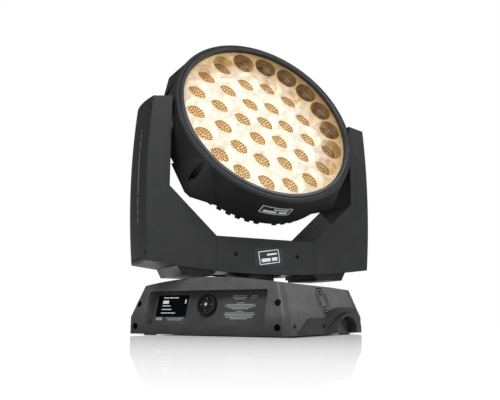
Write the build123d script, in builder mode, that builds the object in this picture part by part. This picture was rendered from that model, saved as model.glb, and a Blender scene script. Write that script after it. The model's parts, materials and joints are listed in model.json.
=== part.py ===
from build123d import *
import os
from math import acos, cos, radians, sin, sqrt, tan

# A moving head wash light. Millimetres, +Z up.
# The origin is on the pan axis at the underside of the bottom plate.
# +X points right along the display face, and the display faces -Y.
# The yoke is drawn at zero pan and the head at zero tilt, facing -Y.
# Both are then turned to the rest pose.

# Rest pose
PAN_REST = 56.86
TILT_REST = 21.88
TILT_AXIS_Z = 358.2

# Base
BASE_WIDTH = 287.5
BASE_DEPTH = 327.2
SKIRT_HEIGHT = 27.2
SHOULDER_X = 126.6
SHOULDER_Z = 78.2
CROWN_Z = 90.5
FRONT_LEAN = 15.94
SKIN = 3.0
FRAME_DEPTH = 20.0
SEAM = 0.5
RECESS_WIDTH = 222.0
RECESS_LOW = 15.6
RECESS_HIGH = 69.2
PLATE_T = 2.0
FOOT_DROP = 2.0

GRILLE_Z = 55.0
GRILLE_RINGS = ((24.5, 21.8), (19.0, 16.3), (13.5, 10.8))
SPOKE_W = 3.2
FOOT_R = 11.0
CHASSIS_X = 100.0
CHASSIS_Y = 112.0
DECK_Z = 66.0
BASE_FAN_X = 104.0
BASE_FAN_Z = 34.0
BASE_FAN_SIZE = 50.0
BASE_FAN_T = 15.0

# Display face
PANEL_T = 2.5
SCREEN_X = -75.5
SCREEN_SIZE = (61.0, 36.0)
KNOB_X = -4.0
KNOB_R = 17.0
BUTTON_R = 5.5
BUTTON_TRAVEL = 1.2

# Connector face
REAR_PANEL_Y = 140.0
CONNECTOR_R = 11.8
CONNECTOR_FLANGE = (26.0, 31.0)
POWER_X = (-92.0, -62.0)
SIGNAL_X = (-28.0, 0.0, 28.0, 56.0)
FUSE_X = 90.0

# Carry handle
GRIP_Y = 52.0
GRIP_SPAN = 80.0
GRIP_RISE = 30.0
CAVITY_X = 150.0
HOOD_FRONT_Y = -14.0
CHEEK_X = BASE_WIDTH / 2 + 1.6
BROW = ((-14, 27), (-5, 31.5), (10, 37.5), (43, 43.5), (78, 45), (104, 41), (119, 33), (125, 22))
BROW_X = 156.0
LIP = ((-14, 3), (1, 16.6), (19, 28.4), (50, 34.8), (72, 35.5), (98, 30), (112, 20), (117, 8))
LIP_X = 160.0

# Hanging bracket pattern and safety cable hole in the bottom plate
BRACKET_X = 170.0
BRACKET_Y = 220.0
BRACKET_HOLE_R = 6.0
SAFETY_HOLE_R = 7.0
SAFETY_HOLE_Y = 128.0

# Pan drive
SPINDLE_R = 26.0
NECK_R = 37.5
RUNNING_FIT = 0.05
PAN_PULLEY_R = 46.0
PAN_PULLEY_Z = 107.5
PULLEY_T = 9.0
MOTOR_PULLEY_R = 12.0
PAN_MOTOR_X = -64.0
BELT_T = 1.5
BELT_GAP = 0.4

# Yoke
YOKE_HALF_DEPTH = 54.2
YOKE_BOTTOM_Z = 100.0
YOKE_BOTTOM_RISE = 15.1
ARM_EDGE_X = 215.0
ARM_BULGE_X = 222.0
ARM_MID_Z = 252.0
ARM_TOP_Z = 389.0
ARM_INNER_X = 182.5
ARM_INNER_TOP_Z = 394.5
KNEE_Z = 239.2
CENTRE_X = 97.0
CENTRE_TOP_Z = 161.6
FRONT_LIP = 2.5
REAR_LIP = 7.5
FRAME_X = 190.0
FRAME_T = 3.5
FRAME_BOTTOM_Z = 105.0
FRAME_STEP_Z = 121.0
BEARING_R = 31.0
HUB_HOLE_R = 27.0
COVER_SCREW_Z = (129.0, 371.0)
COVER_SCREW_Y = -47.0
CENTRE_SCREWS = [(-61.0, 133.0), (61.0, 133.0)]
PLATE_SIZE = (58.0, 33.0)
PLATE_X = 3.0
PLATE_Z = 130.2
UNDER_LOW_Z = 94.0

# Locks
LOCK_HOLE_R = 2.0
LOCK_R = 1.6
LOCK_TRAVEL = 5.0
LOCK_CAP = (9.0, 18.0)
PAN_LOCK_Z = PAN_PULLEY_Z + PULLEY_T + 2.1
TILT_LOCK_X = -198.2

# Tilt drive
TILT_SHAFT_R = 22.0
TILT_PULLEY_R = 26.0
TILT_PULLEY_X = -204.1
DRUM_R = 28.3
DRUM_T = 2.3
TILT_MOTOR_Z = 160.0

# Head, where forward is -Y from the tilt axis
BARREL_R = 178.0
BARREL_BORE_R = 171.0
BARREL_FRONT = 65.0
BARREL_REAR = -12.0
FLANK_X = 176.0
CORNER_CREASE = (93.0, 150.5)
CORNER_LOW = (142.5, 137.8)
CORNER_HIGH = (150.5, 129.0)
CORNER_FLANK = (168.0, 73.0)
CORNER_ROOT = (110.0, 76.0)
CORNER_FRONT_R = 176.9
CORNER_FRONT_ANGLES = (45.0, 41.5, 38.0, 34.0)
CORNER_FRONT_ROOT = (118.0, 92.0)
POCKET_SPOT = (143.4, 116.1)
POCKET_R = 6.0
POCKET_DEPTH_Y = -5.0
HUB_SEAT_R = 11.5
HUB_IN_X = 171.0
BADGE_X = -6.0
BADGE_Y = -31.0
BADGE_WIDTH = 62.0
BADGE_DEPTH = 23.0
RING_FRONT = 67.0
RING_R = 170.6
RING_BORE_R = 163.0
DISC_R = 162.3
DISC_BACK = 52.0
DISC_FACE = 59.0
LENS_PITCH = 45.0
LENS_R = 22.4
LENS_RISE = 5.6
LENS_RINGS = ((0, 1, 0), (1, 6, 0), (2, 12, 15), (3, 18, 0))
CARRIAGE_FRONT = 50.0
CARRIAGE_T = 6.0
ZOOM_TRAVEL = 28.0
ROD_RADIUS = 165.8
ROD_R = 2.5
ROD_ANGLES = (70, 190, 310)
SCREW_RADIUS = 160.0
SCREW_ANGLES = (10, 130, 250)
SCREW_SHAFT_R = 3.0
SINK_FACE = -8.0
BOARD_R = 154.0
COLLIMATOR_TOP = 12.0
FAN_SIZE = 120.0
FAN_T = 25.0
FAN_FRONT = -62.0
REAR_R = 98.0
REAR_END = -106.0
REAR_LIP_R = 170.5
VENT_COUNT = 12
REAR_RIB_ANGLES = [way * angle + turn for turn in (0, 180) for way in (1, -1)
                   for angle in range(42, 85, 6)]

YOKE_AT = Location((0, 0, 0), (0, 0, PAN_REST))
HEAD_AT = YOKE_AT * Location((0, 0, TILT_AXIS_Z), (-TILT_REST, 0, 0))
TURNED = Location((0, 0, 0), (0, 0, 180))

LEAN_RATE = tan(radians(FRONT_LEAN))
SIDE_RATE = (BASE_WIDTH / 2 - SHOULDER_X) / (SHOULDER_Z - SKIRT_HEIGHT)
PANEL_Z = (RECESS_LOW + RECESS_HIGH) / 2
PANEL_Y = -BASE_DEPTH / 2 + FRAME_DEPTH + LEAN_RATE * (PANEL_Z - SKIRT_HEIGHT)
PANEL_PLANE = Plane(
    origin=(0, PANEL_Y, PANEL_Z),
    x_dir=(1, 0, 0),
    z_dir=(0, -cos(radians(FRONT_LEAN)), sin(radians(FRONT_LEAN))),
)
REAR_PLANE = Plane(origin=(0, REAR_PANEL_Y, PANEL_Z), x_dir=(-1, 0, 0), z_dir=(0, 1, 0))


def save(piece, name, place=Location()):
    """Moves a finished piece to its place in the object, labels it and writes it."""
    piece.part.move(place)
    piece.part.label = name
    export_step(piece.part, f"parts/{name}.step")


def circle_spots(radius, angles):
    """Places on a circle, in a plane's own coordinates."""
    return [(radius * cos(radians(a)), radius * sin(radians(a))) for a in angles]


def both_signs(x, y):
    """The four corners of a rectangle about the centre."""
    return [(sx * x, sy * y) for sx in (-1, 1) for sy in (-1, 1)]


FEET = both_signs(118.0, 140.0)

# ---------------------------------------------------------------- base

def base_form(front_y, rear_y, inset=0.0):
    """The base's outer form between two leaning ends, shrunk sideways and downwards by inset."""
    half_width = BASE_WIDTH / 2 - inset
    shoulder = (SHOULDER_X - inset, SHOULDER_Z - inset)
    high_z = SKIRT_HEIGHT + 90
    run = LEAN_RATE * (high_z - SKIRT_HEIGHT)
    with BuildPart() as form:
        with BuildSketch(Plane.XZ.offset(-rear_y)):
            with BuildLine():
                Polyline(shoulder, (half_width, SKIRT_HEIGHT), (half_width, 0),
                         (-half_width, 0), (-half_width, SKIRT_HEIGHT), (-shoulder[0], shoulder[1]))
                ThreePointArc((-shoulder[0], shoulder[1]), (0, CROWN_Z - inset), shoulder)
            make_face()
        extrude(amount=rear_y - front_y)
        for end_y, way in ((front_y, 1), (rear_y, -1)):
            with BuildSketch(Plane.YZ.offset(-half_width - 1)):
                with BuildLine():
                    Polyline((end_y, SKIRT_HEIGHT), (end_y + way * run, high_z),
                             (end_y - way * 5, high_z), (end_y - way * 5, SKIRT_HEIGHT), close=True)
                make_face()
            extrude(amount=2 * half_width + 2, mode=Mode.SUBTRACT)
    return form.part


FRAME_SCREWS = [(-130.0, 48.5), (130.0, 48.5), (-132.0, 12.5), (132.0, 12.5)]
FRAME_SCREW_SEAT_Y = 150.0
FRAME_SCREW_HOLE_R = 5.25


def end_frame(seat_plane):
    """The moulded frame at one end of the base, drawn at the front, with a seat for its panel."""
    wall_width = RECESS_WIDTH + 2 * SKIN
    wall_height = RECESS_HIGH - RECESS_LOW + 2 * SKIN
    with BuildPart() as pocket:
        add(base_form(-BASE_DEPTH / 2 + SKIN, BASE_DEPTH, SKIN))
        with BuildSketch(Plane.XZ):
            with Locations((0, PANEL_Z)):
                Rectangle(wall_width, wall_height)
            with Locations(*FRAME_SCREWS):
                Circle(7.6)
        extrude(amount=BASE_DEPTH, mode=Mode.SUBTRACT)
    with BuildPart() as frame:
        add(base_form(-BASE_DEPTH / 2, BASE_DEPTH / 2))
        add(base_form(-BASE_DEPTH / 2 + FRAME_DEPTH, BASE_DEPTH), mode=Mode.SUBTRACT)
        faces = frame.faces().filter_by(lambda f: f.normal_at().Y < -0.9)
        corner_edges = [e for e in faces.edges() if abs(e.center().X) > 100 and e.length > 20
                        and abs(e.tangent_at(0.5).Z) > 0.5]
        fillet(corner_edges, 4)
        add(pocket.part, mode=Mode.SUBTRACT)
        with BuildSketch(Plane.XZ):
            with Locations((0, PANEL_Z)):
                RectangleRounded(RECESS_WIDTH, RECESS_HIGH - RECESS_LOW, 3)
        extrude(amount=BASE_DEPTH, mode=Mode.SUBTRACT)
        with BuildSketch(seat_plane):
            Rectangle(wall_width + 2, wall_height + 6)
        extrude(amount=-60, mode=Mode.SUBTRACT)
        with BuildSketch(Plane.XZ.offset(FRAME_SCREW_SEAT_Y)):
            with Locations(*FRAME_SCREWS):
                Circle(FRAME_SCREW_HOLE_R)
        extrude(amount=40, mode=Mode.SUBTRACT)
        with BuildSketch(Plane.XZ):
            with Locations(*FRAME_SCREWS):
                Circle(2.6)
        extrude(amount=FRAME_SCREW_SEAT_Y + 1, mode=Mode.SUBTRACT)
    return frame


def front_frame():
    """Frame round the display face."""
    save(end_frame(PANEL_PLANE), "front_frame")


def rear_frame():
    """Frame round the rear socket face."""
    seat = Plane(origin=(0, -REAR_PANEL_Y, PANEL_Z), x_dir=(1, 0, 0), z_dir=(0, -1, 0))
    save(end_frame(seat), "rear_frame", TURNED)


def side_plane(z):
    """A plane on the leaning right side of the base, at height z, facing out."""
    x = BASE_WIDTH / 2 - SIDE_RATE * (z - SKIRT_HEIGHT)
    return Plane(origin=(x, 0, z), x_dir=(0, 1, 0), z_dir=(1, 0, SIDE_RATE))


def grille_cuts(plane):
    """Three octagonal slots crossed by two diagonal spokes."""
    with BuildSketch(plane) as cuts:
        for outer, inner in GRILLE_RINGS:
            RegularPolygon(outer, 8, rotation=22.5)
            RegularPolygon(inner, 8, rotation=22.5, mode=Mode.SUBTRACT)
        for angle in (45, 135):
            Rectangle(80, SPOKE_W, rotation=angle, mode=Mode.SUBTRACT)
    return cuts.sketch


def base_casing():
    """Top and sides in one moulding, open below and at both ends, with a fan grille in each side."""
    end_y = BASE_DEPTH / 2 - FRAME_DEPTH - SEAM
    right = side_plane(GRILLE_Z)
    left = Plane(origin=(-right.origin.X, 0, GRILLE_Z), x_dir=(0, -1, 0), z_dir=(-1, 0, SIDE_RATE))
    with BuildPart() as casing:
        add(base_form(-end_y, end_y))
        add(base_form(-BASE_DEPTH, BASE_DEPTH, SKIN), mode=Mode.SUBTRACT)
        with BuildSketch(Plane.XY):
            Circle(NECK_R + 4)
        extrude(amount=200, mode=Mode.SUBTRACT)
        extrude(grille_cuts(right), amount=-8, mode=Mode.SUBTRACT)
        extrude(grille_cuts(left), amount=-8, mode=Mode.SUBTRACT)
    save(casing, "base_casing")


def bottom_plate():
    """Plate under the base, with holes for the bracket sockets and the safety-cable point."""
    with BuildPart() as plate:
        with BuildSketch(Plane.XY):
            Rectangle(BASE_WIDTH - 2 * SKIN - 2 * SEAM, BASE_DEPTH - 2 * SKIN - 2 * SEAM)
            with GridLocations(BRACKET_X, BRACKET_Y, 2, 2):
                Circle(BRACKET_HOLE_R, mode=Mode.SUBTRACT)
            with Locations((0, SAFETY_HOLE_Y)):
                Circle(SAFETY_HOLE_R, mode=Mode.SUBTRACT)
        extrude(amount=PLATE_T)
    save(plate, "bottom_plate")


def rubber_feet():
    """Four round feet under the bottom plate."""
    with BuildPart() as feet:
        with BuildSketch(Plane.XY):
            with Locations(*FEET):
                Circle(FOOT_R)
        extrude(amount=-FOOT_DROP)
        chamfer(feet.faces().sort_by(Axis.Z)[:4].edges(), 1)
    save(feet, "rubber_feet")


def bracket_sockets():
    """Quarter-turn receivers on the bottom plate, one above each bracket hole."""
    with BuildPart() as sockets:
        with BuildSketch(Plane.XY.offset(PLATE_T)):
            with GridLocations(BRACKET_X, BRACKET_Y, 2, 2):
                Rectangle(26, 30)
                Circle(BRACKET_HOLE_R, mode=Mode.SUBTRACT)
        extrude(amount=2)
        with BuildSketch(Plane.XY.offset(PLATE_T + 2)):
            with GridLocations(BRACKET_X, BRACKET_Y, 2, 2):
                Circle(12)
        extrude(amount=9)
        with BuildSketch(Plane.XY.offset(PLATE_T + 2)):
            with GridLocations(BRACKET_X, BRACKET_Y, 2, 2):
                Circle(BRACKET_HOLE_R)
        extrude(amount=7, mode=Mode.SUBTRACT)
    save(sockets, "bracket_sockets")


def base_chassis():
    """Folded sheet bridge that carries the pan spindle over the electronics."""
    with BuildPart() as chassis:
        with BuildSketch(Plane.XZ.offset(-CHASSIS_Y)):
            with BuildLine():
                Polyline((-CHASSIS_X, PLATE_T), (-CHASSIS_X, DECK_Z + 1), (CHASSIS_X, DECK_Z + 1),
                         (CHASSIS_X, PLATE_T))
            trace(line_width=PLATE_T)
        extrude(amount=2 * CHASSIS_Y)
        for x in (-CHASSIS_X, CHASSIS_X):
            with BuildSketch(Plane.YZ.offset(x)):
                with Locations((0, 36)):
                    RectangleRounded(60, 52, 5)
            extrude(amount=5, both=True, mode=Mode.SUBTRACT)
        with BuildSketch(Plane.XY.offset(DECK_Z)):
            Circle(20)
        extrude(amount=5, both=True, mode=Mode.SUBTRACT)
    save(chassis, "base_chassis")


def pan_spindle():
    """Fixed hollow post that the yoke turns on."""
    top_z = PAN_PULLEY_Z + PULLEY_T + 1
    deck_top = DECK_Z + 1 + PLATE_T / 2
    with BuildPart() as spindle:
        with BuildSketch(Plane.XY.offset(deck_top)):
            Circle(36)
            Circle(20, mode=Mode.SUBTRACT)
        extrude(amount=4)
        with BuildSketch(Plane.XY.offset(deck_top)):
            Circle(SPINDLE_R)
            Circle(20, mode=Mode.SUBTRACT)
        extrude(amount=top_z + 2 - deck_top)
    save(spindle, "pan_spindle")


def toothed_ring(plane, outer_r, bore_r, thickness, teeth):
    """A timing pulley with square teeth."""
    with BuildPart() as pulley:
        with BuildSketch(plane):
            Circle(outer_r)
            with PolarLocations(outer_r, teeth):
                Rectangle(2.0, outer_r * 2.6 / teeth, mode=Mode.SUBTRACT)
            Circle(bore_r, mode=Mode.SUBTRACT)
        extrude(amount=thickness)
    return pulley


def pan_pulley():
    """Fixed pulley round the spindle, with a plain drum above the teeth for the pan lock."""
    with BuildPart() as pulley:
        add(toothed_ring(Plane.XY.offset(PAN_PULLEY_Z), PAN_PULLEY_R, SPINDLE_R, PULLEY_T, 58).part)
        with BuildSketch(Plane.XY.offset(PAN_PULLEY_Z + PULLEY_T)):
            Circle(PAN_PULLEY_R - 3)
            Circle(SPINDLE_R, mode=Mode.SUBTRACT)
        extrude(amount=3.8)
        with BuildSketch(Plane.XY.offset(PAN_PULLEY_Z + PULLEY_T + 0.3)):
            Circle(PAN_PULLEY_R)
            Circle(PAN_PULLEY_R - 4, mode=Mode.SUBTRACT)
        extrude(amount=3.5)
    save(pulley, "pan_pulley")


def control_panel():
    """Sloped front plate with a window for the screen and a bore for the jog ring."""
    with BuildPart() as panel:
        with BuildSketch(PANEL_PLANE):
            Rectangle(RECESS_WIDTH + 6, RECESS_HIGH - RECESS_LOW + 8)
            with Locations((SCREEN_X, 3)):
                Rectangle(SCREEN_SIZE[0] + 0.4, SCREEN_SIZE[1] + 0.4, mode=Mode.SUBTRACT)
            with Locations((KNOB_X, 3)):
                Circle(8 + RUNNING_FIT, mode=Mode.SUBTRACT)
        extrude(amount=-PANEL_T)
    save(panel, "control_panel")


def display_screen():
    """Flat display set in its window in the control panel."""
    with BuildPart() as screen:
        with BuildSketch(PANEL_PLANE.offset(0.6)):
            with Locations((SCREEN_X, 3)):
                RectangleRounded(*SCREEN_SIZE, 1)
        extrude(amount=-5)
    save(screen, "display_screen")


def jog_ring():
    """Ring that turns for menus, on a hollow shaft through the panel."""
    with BuildPart() as ring:
        with BuildSketch(PANEL_PLANE.offset(0.5)):
            with Locations((KNOB_X, 3)):
                Circle(KNOB_R)
        extrude(amount=8)
        fillet(ring.faces().filter_by(lambda f: f.normal_at().Y < -0.9)[-1].edges(), 2.4)
        with BuildSketch(PANEL_PLANE.offset(0.5)):
            with Locations((KNOB_X, 3)):
                Circle(8)
        extrude(amount=-8)
        with BuildSketch(PANEL_PLANE.offset(8.5)):
            with Locations((KNOB_X, 3)):
                Circle(12.5)
        extrude(amount=-1.6, mode=Mode.SUBTRACT)
        with BuildSketch(PANEL_PLANE.offset(-10)):
            with Locations((KNOB_X, 3)):
                Circle(BUTTON_R + 0.4)
        extrude(amount=30, mode=Mode.SUBTRACT)
    save(ring, "jog_ring")


def enter_button():
    """Push button in the middle of the jog ring."""
    with BuildPart() as button:
        with BuildSketch(PANEL_PLANE.offset(-6)):
            with Locations((KNOB_X, 3)):
                Circle(BUTTON_R)
        extrude(amount=6 + 8.6)
        with BuildSketch(PANEL_PLANE.offset(8.6)):
            with Locations((KNOB_X, 3)):
                Circle(2.4)
        extrude(amount=-0.8, mode=Mode.SUBTRACT)
    save(button, "enter_button")


def connector_panel():
    """Rear plate with an opening for each socket."""
    with BuildPart() as panel:
        with BuildSketch(REAR_PLANE):
            Rectangle(RECESS_WIDTH + 6, RECESS_HIGH - RECESS_LOW + 8)
            with Locations(*[(x, 0) for x in POWER_X + SIGNAL_X]):
                Circle(CONNECTOR_R + 0.3, mode=Mode.SUBTRACT)
            with Locations((FUSE_X, 0)):
                Circle(6.3, mode=Mode.SUBTRACT)
        extrude(amount=-PANEL_T)
    save(panel, "connector_panel")


def socket_row(spots, pin_angles, cavity_r):
    """Round chassis sockets with square flanges, each with an open cavity and its pins."""
    with BuildPart() as row:
        with BuildSketch(REAR_PLANE):
            with Locations(*[(x, 0) for x in spots]):
                RectangleRounded(*CONNECTOR_FLANGE, 2)
        extrude(amount=2)
        with BuildSketch(REAR_PLANE):
            with Locations(*[(x, 0) for x in spots]):
                Circle(CONNECTOR_R)
        extrude(amount=-22)
        with BuildSketch(REAR_PLANE.offset(2)):
            with Locations(*[(x, 0) for x in spots]):
                Circle(cavity_r)
        extrude(amount=-16, mode=Mode.SUBTRACT)
        with BuildSketch(REAR_PLANE.offset(-14)):
            for x in spots:
                with Locations(*[(x + dx, dz) for dx, dz in circle_spots(8.0, pin_angles)]):
                    Circle(0.8)
        extrude(amount=8)
    return row


def power_sockets():
    """Power inlet and outlet in the rear plate."""
    save(socket_row(POWER_X, (90, 210, 330), 9.8), "power_sockets")


def signal_sockets():
    """Row of control sockets in the rear plate."""
    save(socket_row(SIGNAL_X, (36, 108, 180, 252, 324), 9.8), "signal_sockets")


def fuse_holder():
    """Screw-cap fuse holder in the rear plate."""
    with BuildPart() as fuse:
        with BuildSketch(REAR_PLANE):
            with Locations((FUSE_X, 0)):
                Circle(8)
        extrude(amount=3)
        with BuildSketch(REAR_PLANE):
            with Locations((FUSE_X, 0)):
                Circle(6)
        extrude(amount=-25)
        with BuildSketch(REAR_PLANE.offset(3)):
            with Locations((FUSE_X, 0)):
                Rectangle(10, 1.5)
        extrude(amount=-1, mode=Mode.SUBTRACT)
    save(fuse, "fuse_holder")


def power_supply():
    """Mains power supply on the base plate."""
    with BuildPart() as supply:
        with BuildSketch(Plane.XY.offset(PLATE_T + 2)):
            with Locations((45, 10)):
                Rectangle(90, 150)
        extrude(amount=42)
        chamfer(supply.edges().filter_by(Axis.Z), 2)
        with BuildSketch(Plane.XY.offset(PLATE_T)):
            with Locations((45, 10)):
                Rectangle(70, 130)
        extrude(amount=2)
        with BuildSketch(Plane.XY.offset(PLATE_T + 44)):
            with Locations((45, 10)):
                with GridLocations(10, 22, 7, 6):
                    Circle(3)
        extrude(amount=-1, mode=Mode.SUBTRACT)
    save(supply, "power_supply")


def control_board():
    """Board on four posts, with its processor, drivers and terminal blocks."""
    with BuildPart() as board:
        with BuildSketch(Plane.XY.offset(PLATE_T)):
            with Locations((-50, 0)):
                with GridLocations(70, 140, 2, 2):
                    Circle(3)
        extrude(amount=10)
        with BuildSketch(Plane.XY.offset(PLATE_T + 10)):
            with Locations((-50, 0)):
                Rectangle(80, 150)
        extrude(amount=1.6)
        with BuildSketch(Plane.XY.offset(PLATE_T + 11.6)):
            with Locations((-50, 0)):
                with GridLocations(20, 24, 3, 4):
                    Rectangle(12, 12)
        extrude(amount=3)
        with BuildSketch(Plane.XY.offset(PLATE_T + 11.6)):
            with Locations((-50, 66), (-50, -66)):
                Rectangle(60, 9)
        extrude(amount=12)
    save(board, "control_board")


def fan_frame(plane, size, thickness):
    """Square fan housing with a round duct, a hub plate and four struts at its back."""
    with BuildPart() as frame:
        with BuildSketch(plane):
            RectangleRounded(size, size, size / 16)
            Circle(size * 0.47, mode=Mode.SUBTRACT)
            with GridLocations(size * 0.87, size * 0.87, 2, 2):
                Circle(size / 32, mode=Mode.SUBTRACT)
        extrude(amount=thickness)
        with BuildSketch(plane):
            Circle(size * 0.19)
            for angle in (45, 135):
                Rectangle(size * 0.96, size / 20, rotation=angle)
            Circle(size * 0.03, mode=Mode.SUBTRACT)
        extrude(amount=thickness * 0.12)
    return frame


def fan_rotor(plane, size, thickness):
    """Hub, spindle and seven pitched blades."""
    low = thickness * 0.16
    height = thickness * 0.8
    blade_r = size * 0.45
    with BuildPart() as rotor:
        with BuildSketch(plane.offset(low)):
            Circle(size * 0.19)
        extrude(amount=height)
        with BuildSketch(plane):
            Circle(size * 0.03 - RUNNING_FIT)
        extrude(amount=low)
        for blade in range(7):
            angle = blade * 360 / 7
            with BuildSketch(plane.offset(low + height * 0.1)):
                with Locations(circle_spots(size * 0.3, [angle])[0]):
                    Rectangle(size * 0.26, size * 0.025, rotation=angle)
            with BuildSketch(plane.offset(low + height * 0.9)):
                with Locations(circle_spots(size * 0.3, [angle + 26])[0]):
                    Rectangle(size * 0.26, size * 0.025, rotation=angle + 26)
            loft(ruled=True)
        with BuildSketch(plane.offset(-1)):
            Circle(size)
            Circle(blade_r, mode=Mode.SUBTRACT)
        extrude(amount=thickness + 2, mode=Mode.SUBTRACT)
    return rotor


BASE_FAN_PLANE = Plane(origin=(BASE_FAN_X, 0, BASE_FAN_Z), x_dir=(0, 1, 0), z_dir=(1, 0, 0))


def base_fan():
    """Cooling fan behind the side grille, as a frame and a rotor."""
    save(fan_frame(BASE_FAN_PLANE, BASE_FAN_SIZE, BASE_FAN_T), "base_fan_frame")
    save(fan_rotor(BASE_FAN_PLANE, BASE_FAN_SIZE, BASE_FAN_T), "base_fan_rotor")


def arch(span, rise):
    """Outline of an arch about GRIP_Y that starts below the base, for a sketch in the YZ plane."""
    half = span / 2
    with BuildLine() as outline:
        Polyline((GRIP_Y - half, 0.5 * rise), (GRIP_Y - half, -5), (GRIP_Y + half, -5),
                 (GRIP_Y + half, 0.5 * rise))
        ThreePointArc((GRIP_Y + half, 0.5 * rise), (GRIP_Y, rise), (GRIP_Y - half, 0.5 * rise))
    return outline.edges()


def swept_arch(points, reach):
    """A lopsided arch under a smooth curve, which leans out from the cheek in front to its full reach."""
    rear_y = points[-1][0]
    with BuildPart() as form:
        with BuildSketch(Plane.YZ.offset(BASE_WIDTH / 2 - 10)):
            with BuildLine():
                Spline(*points, tangents=((1, 1), (0, -1)))
                Polyline(points[-1], (rear_y, 1), (HOOD_FRONT_Y, 1), points[0])
            make_face()
        extrude(amount=reach - BASE_WIDTH / 2 + 10)
        with BuildSketch(Plane.XY):
            with BuildLine():
                Polyline((BASE_WIDTH / 2 - 11, HOOD_FRONT_Y), (CHEEK_X, HOOD_FRONT_Y), (reach, 24),
                         (reach, rear_y), (BASE_WIDTH / 2 - 11, rear_y), close=True)
            make_face()
        extrude(amount=60, mode=Mode.INTERSECT)
    return form.part


def carry_handle(name, place):
    """Moulded hand-hold on the side of the base: a hooded arch with a lip, and a flush cheek in front."""
    with BuildPart() as handle:
        add(swept_arch(BROW, BROW_X))
        add(swept_arch(LIP, LIP_X))
        with BuildSketch(Plane.YZ.offset(BASE_WIDTH / 2)):
            with BuildLine():
                Polyline((-118, 2), (-79, SKIRT_HEIGHT - 1), (GRIP_Y, SKIRT_HEIGHT - 1),
                         (GRIP_Y, 2), close=True)
            make_face()
        extrude(amount=CHEEK_X - BASE_WIDTH / 2)
        with BuildSketch(Plane.YZ.offset(BASE_WIDTH / 2)):
            make_face(arch(GRIP_SPAN, GRIP_RISE))
        extrude(amount=40, mode=Mode.SUBTRACT)
        with BuildSketch(Plane.YZ.offset(BASE_WIDTH / 2)):
            make_face(arch(GRIP_SPAN + 8, GRIP_RISE + 4.5))
        extrude(amount=CAVITY_X - BASE_WIDTH / 2, mode=Mode.SUBTRACT)
        add(base_form(-BASE_DEPTH / 2, BASE_DEPTH / 2), mode=Mode.SUBTRACT)
    save(handle, name, place)


def base_screws():
    """Cap screws in the four corners of each end frame and two on each side."""
    with BuildPart() as screws:
        for way in (1, -1):
            plane = Plane(origin=(0, -way * FRAME_SCREW_SEAT_Y, 0), x_dir=(way, 0, 0), z_dir=(0, -way, 0))
            with BuildSketch(plane):
                with Locations(*FRAME_SCREWS):
                    Circle(4.4)
                    RegularPolygon(2.4, 6, mode=Mode.SUBTRACT)
            extrude(amount=3.5)
            with BuildSketch(plane):
                with Locations(*FRAME_SCREWS):
                    Circle(4.4)
            extrude(amount=1)
            with BuildSketch(plane):
                with Locations(*FRAME_SCREWS):
                    Circle(2.5)
            extrude(amount=-8)
            side = Plane(origin=(way * BASE_WIDTH / 2, 0, 0), x_dir=(0, way, 0), z_dir=(way, 0, 0))
            with BuildSketch(side):
                with Locations((-130, 14)):
                    Circle(3.2)
                    RegularPolygon(1.7, 6, mode=Mode.SUBTRACT)
            extrude(amount=1.4)
            with BuildSketch(side.offset(1.6)):
                with Locations((-22, 13.5)):
                    Circle(3.2)
                    RegularPolygon(1.7, 6, mode=Mode.SUBTRACT)
            extrude(amount=1.4)
    save(screws, "base_screws")


# ---------------------------------------------------------------- yoke

def arc_radius(half_chord, rise):
    """Radius of an arc from half its chord and its rise."""
    return (half_chord ** 2 + rise ** 2) / (2 * rise)


BOTTOM_ARC_R = arc_radius(ARM_EDGE_X, YOKE_BOTTOM_RISE)
EDGE_ARC_R = arc_radius(ARM_TOP_Z - ARM_MID_Z, ARM_BULGE_X - ARM_EDGE_X)


def yoke_bottom_z(x):
    """Height of the yoke's curved underside at x."""
    return YOKE_BOTTOM_Z + BOTTOM_ARC_R - sqrt(BOTTOM_ARC_R ** 2 - x ** 2)


def arm_outline(lip):
    """Right arm in front view, from the centre seam out to lip inside the outer edge."""
    foot_x = ARM_EDGE_X - lip
    seam_low = (CENTRE_X + SEAM / 2, yoke_bottom_z(CENTRE_X + SEAM / 2))
    mid_x = (CENTRE_X + foot_x) / 2
    foot = (foot_x, yoke_bottom_z(foot_x))
    with BuildLine() as outline:
        ThreePointArc(seam_low, (mid_x, yoke_bottom_z(mid_x)), foot)
        ThreePointArc(foot, (ARM_BULGE_X - lip, ARM_MID_Z), (foot_x, ARM_TOP_Z))
        Polyline((foot_x, ARM_TOP_Z), (ARM_INNER_X, ARM_INNER_TOP_Z), (ARM_INNER_X, KNEE_Z),
                 (CENTRE_X + SEAM / 2, CENTRE_TOP_Z), seam_low)
    return outline.edges()


def arm_space():
    """Hollow of the right arm in front view, running out past its open edge and centre seam."""
    slant = (KNEE_Z - CENTRE_TOP_Z) / (ARM_INNER_X - CENTRE_X)
    drop = SKIN * sqrt(1 + slant ** 2)
    fall = (ARM_INNER_TOP_Z - ARM_TOP_Z) / (ARM_EDGE_X - ARM_INNER_X)
    inner_x = ARM_INNER_X + SKIN
    seam_x = CENTRE_X - 5
    far_x = ARM_BULGE_X + 5
    low = [(x, yoke_bottom_z(x) + SKIN) for x in (seam_x, 160, far_x)]
    with BuildLine() as outline:
        ThreePointArc(*low)
        Polyline(low[-1], (far_x, ARM_INNER_TOP_Z - SKIN - fall * (far_x - ARM_INNER_X)),
                 (inner_x, ARM_INNER_TOP_Z - SKIN - fall * SKIN),
                 (inner_x, KNEE_Z + slant * SKIN - drop),
                 (seam_x, CENTRE_TOP_Z - slant * 5 - drop), low[0])
    return outline.edges()


BOW_X = ARM_BULGE_X - EDGE_ARC_R
BOW_START = Plane(origin=(BOW_X, 0, ARM_MID_Z)).rotated((0, -6.6, 0))
BOW_AXIS = Axis((BOW_X, 0, ARM_MID_Z), (0, 1, 0))


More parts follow.
